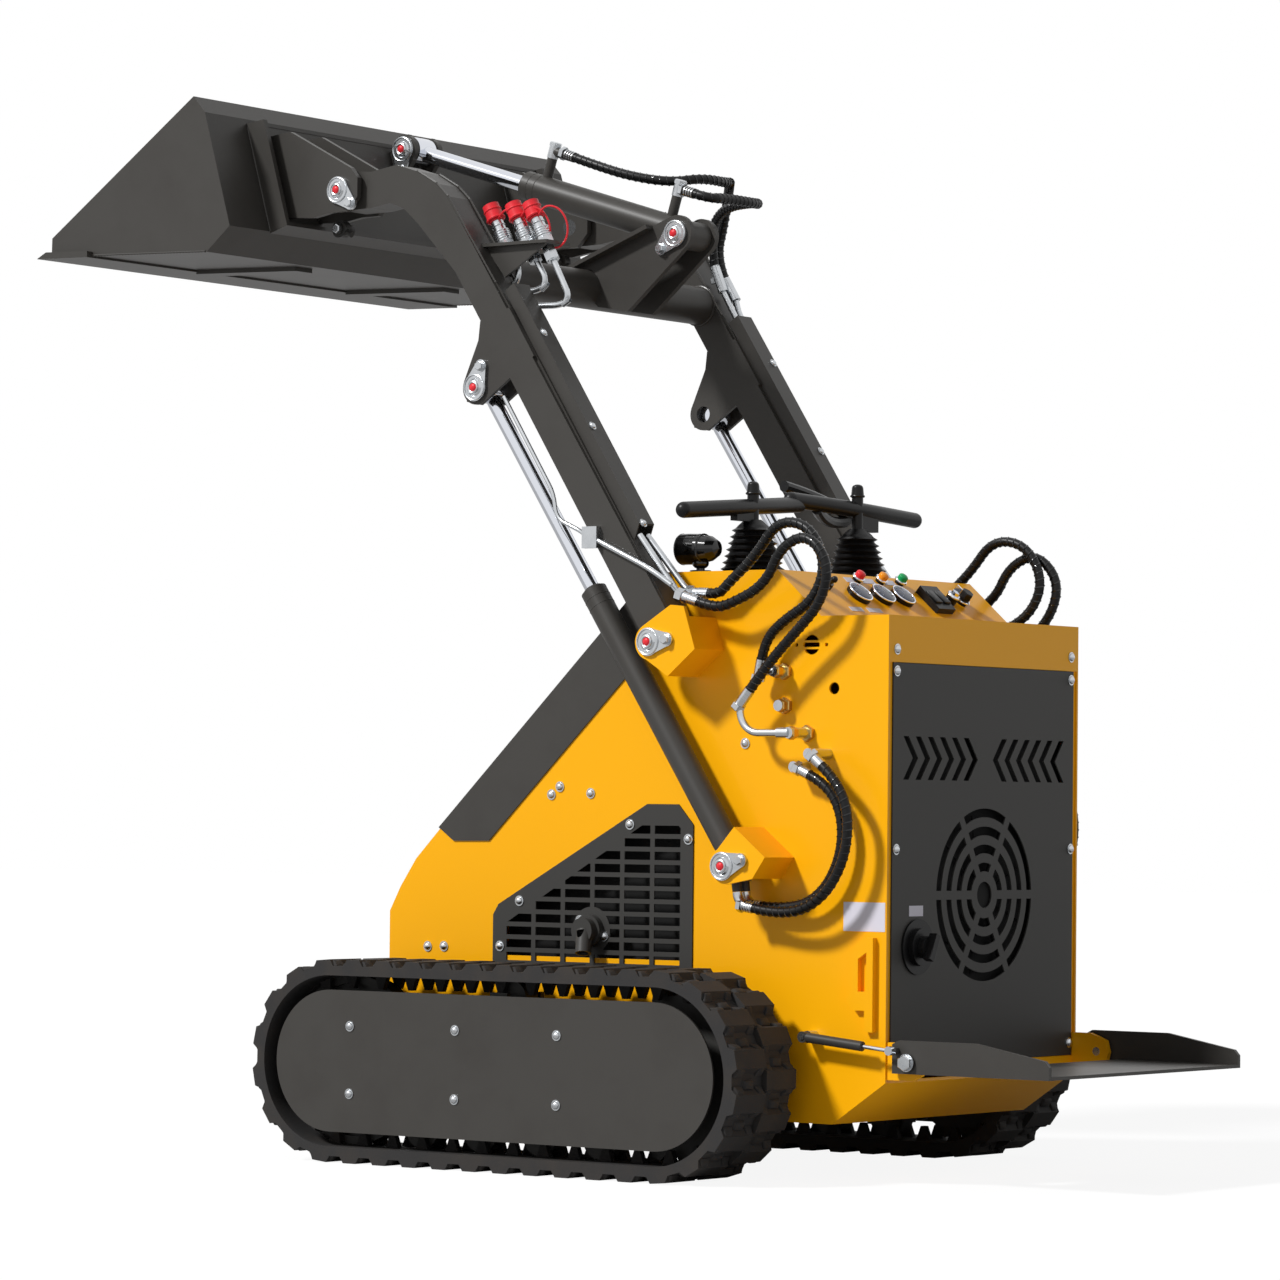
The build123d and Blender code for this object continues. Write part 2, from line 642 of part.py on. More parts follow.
def make_cross():
    tube = disc(CROSS[0], CROSS[1], CROSS_R, -ARM_IN, ARM_IN)
    tube = tube - disc(CROSS[0], CROSS[1], CROSS_R - 8, -ARM_IN, ARM_IN)
    lever = [(TILT_BASE[0] + 14, TILT_BASE[1] + 33), (222, 1716), (170, 1660),
             (150, 1640), (77, 1628), (TILT_BASE[0] - 22, TILT_BASE[1] - 28)]
    for side in (-1, 1):
        y_low = min(side * (LUG_IN + 2), side * (LUG_OUT + 2))
        y_high = y_low + LUG_OUT - LUG_IN
        web = plate(lever, y_low, y_high)
        web = web + disc(TILT_BASE[0], TILT_BASE[1], 36, y_low, y_high)
        web = web - disc(TILT_BASE[0], TILT_BASE[1], PIN_R + PIN_FIT, y_low, y_high)
        web = web - disc(CROSS[0], CROSS[1], CROSS_R - 4, y_low, y_high)
        tube = tube + web
    slope = (SHELF_HIGH[1] - SHELF_LOW[1]) / (SHELF_HIGH[0] - SHELF_LOW[0])
    notch = (SHELF_NOTCH_X, SHELF_LOW[1] + slope * (SHELF_NOTCH_X - SHELF_LOW[0]))
    shelf = sheet_along([SHELF_LOW, notch], 8, -SHELF_HALF, SHELF_HALF)
    for side in (-1, 1):
        y_low = min(side * (LUG_IN + 2), side * SHELF_HALF)
        shelf = shelf + sheet_along([SHELF_LOW, SHELF_HIGH], 8, y_low,
                                    y_low + SHELF_HALF - LUG_IN - 2)
    return tube + (shelf - disc(CROSS[0], CROSS[1], CROSS_R - 4, -80, 80))


def make_cylinder(base, eye, mid, barrel_r, barrel_len, rod_r, engage, eye_half):
    """Barrel and rod between two pins; the rod's eye has no pin through it."""
    size = math.hypot(eye[0] - base[0], eye[1] - base[1])
    way = ((eye[0] - base[0]) / size, (eye[1] - base[1]) / size)
    start = barrel_len - LIFT_GLAND - engage

    def at(run):
        return (base[0] + way[0] * run, mid, base[1] + way[1] * run)
    barrel = bar(at(24), at(barrel_len), barrel_r)
    barrel = barrel + disc(base[0], base[1], EYE_R, mid - eye_half, mid + eye_half)
    barrel = barrel - bar(at(44), at(barrel_len - LIFT_GLAND), barrel_r - WALL)
    barrel = barrel - bar(at(44), at(barrel_len), rod_r + 0.5)
    barrel = barrel - disc(base[0], base[1], PIN_R + PIN_FIT, mid - eye_half, mid + eye_half)
    rod = bar(at(start), at(size), rod_r)
    rod = rod + bar(at(start), at(start + 24), barrel_r - WALL - 0.5)
    rod = rod + disc(eye[0], eye[1], EYE_R, mid - eye_half + 5, mid + eye_half - 5)
    return barrel, rod


# The bucket.
def back_frame():
    dx = BACK_HEAD[0] - BACK_FOOT[0]
    dz = BACK_HEAD[1] - BACK_FOOT[1]
    size = math.hypot(dx, dz)
    return (dx / size, dz / size)


def behind(rise, out):
    """A point rise up the bucket's back and out behind it, in XZ."""
    up = back_frame()
    return (BACK_FOOT[0] + up[0] * rise - up[1] * out,
            BACK_FOOT[1] + up[1] * rise + up[0] * out)


def hook_under(out):
    """Height of the mount hook's underside at out behind the bucket."""
    return 214 - 4 * out / HOOK_DEEP


def make_bucket():
    half = BUCKET_HALF
    side = [(709, 1732), (1121, 1746), (1120, 1783), (748, 2036), (718, 2003), BACK_FOOT]
    shell = []
    for low in (-half, half - BUCKET_SIDE):
        shell.append(plate(side, low, low + BUCKET_SIDE))
    floor = [(FRONT_X - 26, 1746), (709, 1732), BACK_FOOT, BACK_HEAD, (748, 2036)]
    inner = half - BUCKET_SIDE
    shell.append(sheet_along(list(reversed(floor)), BUCKET_SHEET, -inner, inner))
    lip = [(FRONT_X, 1742), (FRONT_X - 24, 1754), (1010, 1750), (1010, 1738)]
    shell.append(plate(lip, -half - 16, half + 16))
    bucket = join(shell)
    for side_sign in (-1, 1):
        low = min(side_sign * MOUNT_HALF, side_sign * (MOUNT_HALF - 10))
        flange = [behind(-4, 0), behind(-4, MOUNT_DEEP), behind(216, MOUNT_DEEP),
                  behind(224, 0)]
        bucket = bucket + plate(flange, low, low + 10)
    hook = [behind(224, 0), behind(218, HOOK_DEEP), behind(hook_under(HOOK_DEEP), HOOK_DEEP),
            behind(hook_under(0), 0)]
    ledge = [behind(-4, 0), behind(-4, MOUNT_DEEP), behind(4, MOUNT_DEEP), behind(4, 0)]
    mount = MOUNT_HALF - 10
    strip = [(1010, 1743), (1010, 1734), (745, 1725), (745, 1734)]
    for y_low in (-WEAR_Y - 25, WEAR_Y - 25):
        bucket = bucket + plate(strip, y_low, y_low + 50)
    return bucket + plate(hook, -mount, mount) + plate(ledge, -mount, mount)


def make_attach():
    half = MOUNT_HALF - 16
    board = plate([behind(4, 16), behind(4, 28), behind(hook_under(28), 28),
                   behind(hook_under(16), 16)], -half, half)
    ear = [behind(20, 28), behind(-2, 90), (TIP[0] + 20, TIP[1] - 42),
           (TIP[0] - 20, TIP[1] - 42), (TIP[0] - 46, TIP[1] - 15), (TIP[0] - 46, TIP[1] + 22),
           (TIP[0] - 28, TIP[1] + 42), behind(180, 80), behind(190, 28)]
    for side in (-1, 1):
        for edge in (ARM_IN - EAR_GAP - EAR_THICK, ARM_OUT + EAR_GAP):
            low = min(side * edge, side * (edge + EAR_THICK))
            web = plate(ear, low, low + EAR_THICK)
            web = web - disc(TIP[0], TIP[1], PIN_R + PIN_FIT, low, low + EAR_THICK)
            board = board + web
        low = min(side * LUG_IN, side * LUG_OUT)
        lug = [behind(130, 28), (TILT_EYE[0] - 24, TILT_EYE[1] - 22),
               (TILT_EYE[0] - 10, TILT_EYE[1] + 30), behind(202, 28)]
        web = plate(lug, low, low + LUG_OUT - LUG_IN)
        web = web + disc(TILT_EYE[0], TILT_EYE[1], 30, low, low + LUG_OUT - LUG_IN)
        web = web - disc(TILT_EYE[0], TILT_EYE[1], PIN_R + PIN_FIT, low, low + LUG_OUT - LUG_IN)
        board = board + web
    return board


# The step.
def make_step():
    base = STEP_HINGE
    floor = block(STEP_REAR_X, STEP_FLOOR_X, -STEP_HALF, STEP_HALF, 203, 209)
    rail = [(-746, 203), (-746, 255), (-760, 262), (-924, 262), (-1067, 236),
            (STEP_REAR_X, 226), (STEP_REAR_X, 203)]
    step = floor
    for side in (-1, 1):
        low = min(side * (STEP_HALF - 8), side * STEP_HALF)
        step = step + plate(rail, low, low + 8)
    for side in (-1, 1):
        low = min(side * (STEP_HALF - 8), side * STEP_HALF)
        step = step - disc(base[0], base[1], STEP_BOLT_R + PIN_FIT, low, low + 8)
        stud_low = min(side * STEP_HALF, side * (STRUT_Y - 9))
        step = step + disc(STRUT_EYE[0], STRUT_EYE[1], 6, stud_low,
                           stud_low + STRUT_Y - 9 - STEP_HALF)
    return step


def make_strut():
    base = STRUT_BASE
    eye = STRUT_EYE
    size = math.hypot(eye[0] - base[0], eye[1] - base[1])
    way = ((eye[0] - base[0]) / size, (eye[1] - base[1]) / size)

    def at(run):
        return (base[0] + way[0] * run, STRUT_Y, base[1] + way[1] * run)
    body = bar(at(8), at(STRUT_BODY_LEN), STRUT_R)
    body = body + disc(base[0], base[1], 10, STRUT_Y - 7, STRUT_Y + 7)
    body = body - bar(at(20), at(STRUT_BODY_LEN), STRUT_ROD_R + 0.5)
    body = body - disc(base[0], base[1], 5 + PIN_FIT, STRUT_Y - 7, STRUT_Y + 7)
    rod = bar(at(40), at(size), STRUT_ROD_R)
    rod = rod + disc(eye[0], eye[1], 8, STRUT_Y - 7, STRUT_Y + 7)
    stud = disc(base[0], base[1], 5, BODY_HALF, STRUT_Y + 9)
    stud = stud + disc(base[0], base[1], 11, BODY_HALF, STRUT_Y - 9)
    return body, rod, stud


# Hoses, pipes and their fittings.
def around(centre, angle, radius, y):
    """A point on a circle about a pin, as (x, y, z)."""
    turn = math.radians(angle)
    return (centre[0] + radius * math.cos(turn), y, centre[1] + radius * math.sin(turn))


def tube(points, radius, share=0.45):
    """A round tube: straight runs joined by tangent arcs."""
    ways = [Vector(*b) - Vector(*a) for a, b in zip(points, points[1:])]
    bends = []
    for before, after in zip(ways, ways[1:]):
        half = math.radians(before.get_angle(after) / 2)
        bends.append(share * min(before.length, after.length) / math.tan(half))
    line = FilletPolyline(*points, radius=bends)
    section = Plane(origin=points[0], z_dir=ways[0]) * Circle(radius)
    solid = sweep(section, path=line).solid()
    full = math.pi * radius * radius * line.length
    print("tube r", radius, "length", round(line.length), "bends", [round(b) for b in bends],
          "volume share", round(solid.volume / full, 4))
    return solid


def toward(start, goal, length):
    """The point at length from start on the way to goal."""
    size = math.dist(start, goal)
    return tuple(a + (b - a) * length / size for a, b in zip(start, goal))


# Routes as (x, y, z), from the arm or the cylinder end to the port on the body.
ELBOWS = [around(LIFT_BASE, STUB_TURN, ELBOW_DROP, y) for y in PORT_YS]
LIFT_ROUTES = (
    (toward(ELBOWS[0], (-545, 351, 489), 34), (-545, 351, 489), (-610, 350, 520),
     (-648, 350, 585), (-652, 350, 655), (-622, 350, 712), (-578, 350, 732)),
    (toward(ELBOWS[1], (-548, 375, 478), 34), (-548, 375, 478), (-625, 376, 508),
     (-672, 376, 575), (-684, 376, 652), (-662, 376, 716), (-622, 374, 748)),
)
BODY_ROUTES = (
    (around(PIVOT, 142, ARM_RING + HOSE_GAP, 352), around(PIVOT, 142, 250, 352),
     (-506, 354, 1192), (-580, 358, 1180), (-618, 360, 1110), (-590, 358, 1045),
     (-520, 354, 1010), (-478, 351, 975), (-470, 350, 940)),
    (around(PIVOT, 157, ARM_RING + HOSE_GAP, 376), around(PIVOT, 157, 258, 376),
     (-528, 378, 1140), (-590, 380, 1165), (-640, 382, 1110), (-622, 380, 1040),
     (-560, 376, 985), (-500, 374, 930), (-462, 374, 885)),
)
UPPER_PORT = (-499.0, 919.0)
MIDDLE_PORT = (-501.0, 857.0)
LOWER_PORT = (-551.0, 807.0)
ARM_ROUTES = (
    ((-352, 352, 1062), (-376, 352, 1061), around(PIVOT, 142, 170, 352),
     around(PIVOT, 142, ARM_RING, 352)),
    ((-345, 376, 1046), (-378, 376, 1036), around(PIVOT, 157, 166, 376),
     around(PIVOT, 157, ARM_RING, 376)),
)


def tilt_routes():
    """Two hoses as far as a face across the pin's axis, and on to the right arm."""
    front, rear = [tilt_point(run - reach, PORT_RISE) for run, reach in TILT_PORTS]
    barrel = ((front, (200, 0, 1926), (120, -12, 1899), (40, -40, 1884), (2, -90, 1895),
               (2, -TILT_CUT, 1895)),
              (rear, (-86, 0, 1840), (-84, -52, 1846), (-84, -TILT_CUT, 1846)))
    low = -TILT_CUT - HOSE_GAP
    arm = (((2, low, 1895), (2, -180, 1895), (70, -275, 1912), (120, -335, 1885),
            (145, -358, 1840), pipe_point(905, -84, -366), pipe_point(855, -77, -366)),
           ((-84, low, 1846), (-84, -170, 1846), (-20, -225, 1860), (85, -275, 1862),
            (162, -335, 1826), pipe_point(882, -81, -346)))
    return barrel, arm


def pipe_point(run, off, y):
    x, z = arm_point(run, off)
    return (x, y, z)


def make_tilt_pipes():
    """Steel pipes up the rear of the right arm, with the hoses' sleeves."""
    pipes = []
    for route, run, off in zip(tilt_routes()[1], (803, 827), (-76, -71)):
        end = route[-1]
        foot = pipe_point(run, off, end[1])
        pipe = tube((foot, pipe_point(778, ARM_REAR - 13, end[1]),
                     pipe_point(700, ARM_REAR - 13, end[1])), PIPE_R)
        pipes.append(pipe + bar(end, foot, FITTING_R))
    return pipes


def make_front_pipe():
    """A thin pipe in front of the left arm, clamped where it crosses its face."""
    inside = ARM_OUT - 4.5
    outside = ARM_OUT + 6.5
    run = tube(((104, inside, 1439), (-17, inside, 1253), (-25, inside, 1206),
                (-80, inside, 1182), (-106, outside, 1170)), 4, 0.4)
    clamp = block(-132, -98, ARM_OUT, ARM_OUT + 13, 1148, 1188)
    over = tube(((-128, outside, 1163), (-250, outside, 1108), (-297, outside - 6, 1077)), 5)
    return run + clamp + over


def make_hoses():
    """Hoses to the lift cylinders, to the arms' pipes and on the arms."""
    lift = [tube(route, HOSE_R) for route in LIFT_ROUTES]
    body = [tube(route, HOSE_R) for route in BODY_ROUTES]
    arm = [tube(route, HOSE_R) for route in ARM_ROUTES]
    return lift, body, arm


def sleeve(end, nearer, length):
    """A crimped hose end from the hose's end point away from its next point."""
    way = (Vector(*end) - Vector(*nearer)).normalized()
    far = Vector(*end) + way * length
    return bar(end, tuple(far), FITTING_R)


def make_hose_ends():
    """Elbows and ports on the left side of the body."""
    parts = []
    for index, route in enumerate(LIFT_ROUTES):
        end = route[-1]
        near = route[-2]
        crimp = sleeve(end, near, 34)
        corner = Vector(*end) + (Vector(*end) - Vector(*near)).normalized() * 34
        port = bar((corner.X, BODY_HALF, corner.Z), (corner.X, corner.Y + 8, corner.Z), FITTING_R)
        parts.append(crimp + port)
        stub = around(LIFT_BASE, STUB_TURN, LIFT_RING + STUB_GAP, PORT_YS[index])
        parts.append(tube((stub, ELBOWS[index], route[0]), HOSE_R, 0.9))
    upper, lower = BODY_ROUTES
    y = upper[-1][1]
    parts.append(sleeve(upper[-1], upper[-2], 30) + side_port(UPPER_PORT, y)
                 + bar((UPPER_PORT[0], y, UPPER_PORT[1]), (-464, y, UPPER_PORT[1]), PIPE_R + 2))
    parts.append(side_port(MIDDLE_PORT, 336))
    y = lower[-1][1]
    foot = toward(lower[-1], lower[-2], -36)
    bend = (-446, y, LOWER_PORT[1])
    pipe = tube((foot, bend, (LOWER_PORT[0], y, LOWER_PORT[1])), PIPE_R + 1, 0.7)
    nut = bar((LOWER_PORT[0], y, LOWER_PORT[1]), (LOWER_PORT[0] + 26, y, LOWER_PORT[1]), FITTING_R)
    parts.append(sleeve(lower[-1], lower[-2], 36) + pipe + nut + side_port(LOWER_PORT, y))
    return parts


def side_port(centre, y):
    """A hydraulic adapter that stands out of the body's side."""
    adapter = disc(centre[0], centre[1], FITTING_R, BODY_HALF - SIDE_THICK, y + 6)
    return adapter + disc(centre[0], centre[1], FITTING_R + 3, BODY_HALF, BODY_HALF + 10)


def make_port_stubs():
    """Two ports on the eye of a lift barrel, pointing down at rest."""
    stubs = []
    for y in PORT_YS:
        stubs.append(bar(around(LIFT_BASE, STUB_TURN, EYE_R - 4, y),
                         around(LIFT_BASE, STUB_TURN, LIFT_RING, y), HOSE_R))
    return stubs


def tilt_point(run, rise):
    """A point along the tilt cylinder and rise above its axis."""
    size = math.dist(TILT_BASE, TILT_EYE)
    c = (TILT_EYE[0] - TILT_BASE[0]) / size
    s = (TILT_EYE[1] - TILT_BASE[1]) / size
    return (TILT_BASE[0] + run * c - rise * s, 0, TILT_BASE[1] + run * s + rise * c)


def make_tilt_ports():
    """Ports that stand on the tilt barrel, each with an elbow toward its base."""
    ports = []
    for run, reach in TILT_PORTS:
        post = bar(tilt_point(run, TILT_BARREL_R - 3), tilt_point(run, PORT_RISE + 10), FITTING_R)
        elbow = bar(tilt_point(run, PORT_RISE), tilt_point(run - reach, PORT_RISE), FITTING_R)
        ports.append(post + elbow)
    return ports


def make_arm_pipes():
    """Steel pipes from the arm's cover to the hoses and up to the couplers."""
    pipes = []
    for route, lift in zip(ARM_ROUTES, (352, 376)):
        start = route[0]
        foot = arm_point(192, ARM_REAR - 13)
        way = Vector(*route[0]) - Vector(*route[1])
        bend = Vector(*start) + way.normalized() * 46
        pipe = tube(((start[0], start[1], start[2]), (bend.X, lift, bend.Z),
                     (foot[0], lift, foot[1])), PIPE_R)
        pipes.append(pipe + sleeve(start, route[1], 40))
    return pipes


# Controls.
def make_boot(y):
    """A ribbed rubber boot of revolution under a control lever."""
    low = TOP_Z
    profile = [(0, low), (BOOT_R + 6, low), (BOOT_R + 6, low + 4)]
    for index in range(BOOT_RIBS):
        share = index / BOOT_RIBS
        wide = BOOT_R + (BOOT_TOP_R - BOOT_R) * share
        z = low + 4 + index * BOOT_RIB
        profile.append((wide - 7, z + 2))
        profile.append((wide, z + BOOT_RIB / 2))
        profile.append((wide - 7, z + BOOT_RIB - 2))
    top = low + 4 + BOOT_RIBS * BOOT_RIB
    profile += [(BOOT_TOP_R - 8, top + 3), (16, top + 14), (0, top + 14)]
    face = make_face(Polyline(*[(x, 0, z) for x, z in profile], close=True))
    boot = revolve(face, Axis.Z)
    return boot.moved(Location((LEVER_X, y, 0))), top + 14


def grip_end(x, y, z):
    return Pos(x, y, z) * Sphere(GRIP_R)


def make_levers():
    """Two boots with bent stems that carry the wide hand grips."""
    levers = []
    grips = ((LEVER_Y, 385, 1214, -12, 1246), (-LEVER_Y, -364, 1234, 12, 1254))
    for y, y_out, z_out, y_in, z_in in grips:
        boot, top = make_boot(y)
        side = 1 if y > 0 else -1
        level = z_out + (z_in - z_out) * (y_out - y) / (y_out - y_in)
        grip = tube(((LEVER_X, y_out, z_out), (LEVER_X, y, level),
                     (LEVER_X + 26, y_in, z_in)), GRIP_R)
        stem = bar((LEVER_X, y, top - 6), (LEVER_X, y, level), 11)
        knob = bar((LEVER_X, y, level), (LEVER_X, y, level + 30), 11)
        gusset = plate([(LEVER_X - 8, top - 4), (LEVER_X + 8, top - 4), (LEVER_X + 8, level),
                        (LEVER_X - 8, level)], min(y, y + side * 60), max(y, y + side * 60))
        ends = [grip_end(LEVER_X, y_out, z_out), grip_end(LEVER_X + 26, y_in, z_in)]
        levers.append(join([boot, stem, grip, knob, gusset] + ends))
    return levers


def console_point(down, rise):
    """A point on the sloped console, down its face and rise above it, in XZ."""
    dx = LEDGE_X - CONSOLE_X
    dz = REAR_TOP_Z - TOP_Z
    size = math.hypot(dx, dz)
    return (CONSOLE_X + (dx * down + dz * rise) / size,
            TOP_Z + (dz * down - dx * rise) / size)


def on_console(y, down, radius, rise):
    """A round knob or gauge that stands on the sloped console."""
    foot = console_point(down, 0)
    head = console_point(down, rise)
    return bar((foot[0], y, foot[1]), (head[0], y, head[1]), radius)


def make_switches():
    """Gauges, buttons and switch block on the console, isolator behind."""
    items = []
    for y in GAUGE_YS:
        items.append(on_console(y, 62, GAUGE_R, 10))
    for y in BUTTON_YS:
        items.append(on_console(y, 16, 9, 12))
    items.append(plate([console_point(38, 0), console_point(38, 16), console_point(100, 12),
                        console_point(100, 0)], -144, -88))
    for y in (-176, -214):
        items.append(on_console(y, 62, 12, 16))
    items.append(make_isolator())
    return items


def make_isolator():
    """Battery isolator on a round base plate, its key turned from upright."""
    y, z = ISOLATOR
    foot = (REAR_X, y, z)
    dial = bar(foot, (REAR_X - 4, y, z), ISOLATOR_R)
    dial = dial + bar(foot, (REAR_X - 14, y, z), 0.68 * ISOLATOR_R)
    dial = dial + bar(foot, (REAR_X - 26, y, z), 0.4 * ISOLATOR_R)
    key = Pos(REAR_X - 32, y, z) * Rot(25, 0, 0) * Box(16, 12, ISOLATOR_R)
    return dial + key


def make_lamp():
    """Round work lamp on a stalk, facing forward."""
    x, y, z = LAMP
    edge = [(-42, 0), (-38, 0.52 * LAMP_R), (-24, 0.8 * LAMP_R), (0, 0.97 * LAMP_R),
            (22, LAMP_R), (40, LAMP_R), (40, 0)]
    section = Polyline(*[(x + run, y, z + rise) for run, rise in edge], close=True)
    lamp = revolve(make_face(section), Axis((x, y, z), (1, 0, 0)))
    stalk = bar((x, y, TOP_Z), (x, y, z - 10), 8)
    return lamp + stalk + bar((x, y, TOP_Z), (x, y, TOP_Z + 5), 20)


def make_tie_handle():
    """D handle of flat steel welded on edge to the side."""
    outer = [(-704, 274), (-686, 274), (-686, 312), (-662, 312), (-646, 330), (-654, 346),
             (-656, 410), (-670, 434), (-690, 442), (-704, 442)]
    inner = [(-690, 346), (-672, 346), (-672, 404), (-690, 416)]
    handle = plate(outer, BODY_HALF, BODY_HALF + 12)
    return handle - plate(inner, BODY_HALF, BODY_HALF + 12)


# Couplers on the left arm.
def make_coupler_plate():
    """A shelf behind the left arm with a gusset under it."""
    tip = min(COUPLER_XS) - 30
    shelf = block(tip, 180, ARM_IN - 30, ARM_OUT - 26, SHELF_Z, SHELF_Z + 6)
    low = COUPLER_Y + 19
    gusset = plate([(180, SHELF_Z), (tip + 10, SHELF_Z), (132, 1668)], low, low + 6)
    return shelf + gusset


def coupler_axis(x):
    """Points up and down one coupler's leaning axis."""
    lean = (math.sin(math.radians(COUPLER_LEAN)), math.cos(math.radians(COUPLER_LEAN)))

    def up(run):
        return (x + lean[0] * run, COUPLER_Y, SHELF_Z + 6 + lean[1] * run)
    return up


def make_couplers(shelf):
    """Quick couplers and their red caps, with the steel pipes under them."""
    bodies = []
    caps = []
    ends = (((101, 1668), (140, 1652)), ((48, 1656), (66, 1642), (140, 1641)),
            ((-6, 1622), (14, 1611), (90, 1613)))
    for x, turns in zip(COUPLER_XS, ends):
        up = coupler_axis(x)
        body = bar(up(-12), up(26), 15) + bar(up(26), up(54), 12)
        bodies.append((body - shelf).solids().sort_by(Axis.Z)[-1])
        nut = bar(up(-42), up(0), 11) - shelf
        below = nut.solids().sort_by(Axis.Z)[0]
        route = [up(-20)] + [(px, COUPLER_Y, pz) for px, pz in turns]
        bodies.append(below + tube(route, PIPE_R, 0.9))
        caps.append(bar(up(54), up(86), 16))
    return bodies, caps


def main():
    os.makedirs("parts", exist_ok=True)

    write_pair("track", make_track())
    write_pair("track_frame", make_track_frame())
    write_pair("track_cover", make_cover())
    idler, sprocket, rollers = make_wheels()
    write_pair("idler", idler)
    write_pair("sprocket", sprocket)
    write_pair("rollers", *rollers)

    side = make_side() + make_tie_handle()
    write_pair("side_panel", side)
    grille = make_grille()
    ring, outlet = make_outlet()
    write("side_grille_left", grille + ring, outlet)
    write("side_grille_right", other_side(grille))
    nose, belly, top = make_shell()
    write("nose_plate", nose)
    write("belly_plate", belly)
    write("console_panel", top)
    write("hood", make_hood())
    write("rear_panel", make_rear_panel())
    write("rear_frame", *make_rear_frame())
    step_bracket = make_step_bracket()
    write("step_brackets", step_bracket, other_side(step_bracket))
    write("engine_block", block(-260, 170, -190, 190, BELLY_Z + 6, BELLY_Z + 470))

    upper = [(PIVOT[0] + 18, PIVOT[1] + 28), (-305, 1040), (-335, 1037), (-361, 959),
             (-300, 910), (PIVOT[0] + 10, PIVOT[1] - 31)]
    upper_wall = [(-341, 1019), (-361, 959), (-300, 910)]
    lower = [(LIFT_BASE[0] + 30, LIFT_BASE[1] + 12), (-453, 637), (-522, 583),
             (-494, 544), (LIFT_BASE[0] - 6, LIFT_BASE[1] - 33)]
    lower_wall = [(-453, 637), (-522, 583), (-494, 544)]
    write_pair("arm_boss", make_boss(PIVOT, upper, upper_wall))
    write_pair("ram_boss", make_boss(LIFT_BASE, lower, lower_wall))
    pins = [pin_with_flag(PIVOT[0], PIVOT[1], BODY_HALF - 16, BOSS_OUT, 175),
            pin_with_flag(LIFT_BASE[0], LIFT_BASE[1], BODY_HALF - 16, BOSS_OUT, 165)]
    write("body_pins", *pins, *[other_side(pin) for pin in pins])

    arm = make_arm()
    write("loader_arm_left", arm + make_coupler_plate())
    write("loader_arm_right", other_side(arm))
    write_pair("arm_cover", make_arm_cover())
    write("cross_tube", make_cross())
    eye_pin = pin_with_flag(LIFT_EYE[0], LIFT_EYE[1], ARM_OUT - ARM_PLATE, ARM_OUT, 110)
    tilt_pin = pin_with_flag(TILT_BASE[0], TILT_BASE[1], -LUG_OUT - 2, LUG_OUT + 2, -40)
    write("arm_pins", eye_pin, other_side(eye_pin), tilt_pin)

    barrel, rod = make_cylinder(LIFT_BASE, LIFT_EYE, LIFT_MID, LIFT_BARREL_R,
                                LIFT_BARREL_LEN, LIFT_ROD_R, LIFT_ENGAGE, EYE_HALF)
    write_pair("lift_barrel", join([barrel] + make_port_stubs()))
    write_pair("lift_rod", rod)
    barrel, rod = make_cylinder(TILT_BASE, TILT_EYE, 0, TILT_BARREL_R,
                                TILT_BARREL_LEN, TILT_ROD_R, TILT_ENGAGE, LUG_IN)
    near, far = [[tube(route, HOSE_R) for route in routes] for routes in tilt_routes()]
    write("tilt_barrel", cut(join([barrel] + make_tilt_ports()), near))
    write("tilt_rod", rod)

    write("bucket", make_bucket())
    write("attach_plate", make_attach())
    ear_out = ARM_OUT + EAR_GAP + EAR_THICK
    tip_pin = pin_with_flag(TIP[0], TIP[1], ARM_IN - EAR_GAP - EAR_THICK, ear_out, -140)
    rod_pin = pin_with_flag(TILT_EYE[0], TILT_EYE[1], LUG_IN, LUG_OUT, -85)
    write("attach_pins", tip_pin, other_side(tip_pin), rod_pin)

    write("step", make_step())
    body, rod, stud = make_strut()
    write_pair("strut_body", body)
    write_pair("strut_rod", rod)
    bolt = disc(STEP_HINGE[0], STEP_HINGE[1], STEP_BOLT_R, STEP_HALF - 24, STEP_HALF + 3)
    bolt = bolt + disc(STEP_HINGE[0], STEP_HINGE[1], 13, STEP_HALF + 3, STEP_HALF + 9)
    write("step_bolts", bolt, other_side(bolt), stud, other_side(stud))

    write("control_levers", *make_levers())
    write("switches", *make_switches())
    write("work_lamp", make_lamp())
    cover = make_arm_cover()
    couplers, caps = make_couplers(make_coupler_plate())
    pipes = [pipe - arm - cover for pipe in make_arm_pipes()]
    right_arm = other_side(arm)
    right_cover = other_side(cover)
    tilt_pipes = [cut(pipe, [right_arm, right_cover] + far) for pipe in make_tilt_pipes()]
    pipes_on_right = [other_side(pipe) for pipe in pipes] + tilt_pipes
    write("arm_pipes", *pipes, *pipes_on_right, make_front_pipe(),
          *[piece - arm - cover for piece in couplers])
    write("coupler_caps", *caps)
    lift, body, arm_ends = make_hoses()
    write("hose_lift", *lift, *[other_side(hose) for hose in lift])
    write("hose_body", *body, *[other_side(hose) for hose in body])
    write("hose_tilt", *near)
    write("hose_arm", *arm_ends, *[other_side(hose) for hose in arm_ends], *far)
    ends = make_hose_ends()
    write("hose_ends", *ends, *[other_side(end) for end in ends])


if __name__ == "__main__":
    main()
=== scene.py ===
import math

import bmesh
import bpy
from mathutils import Matrix, Vector


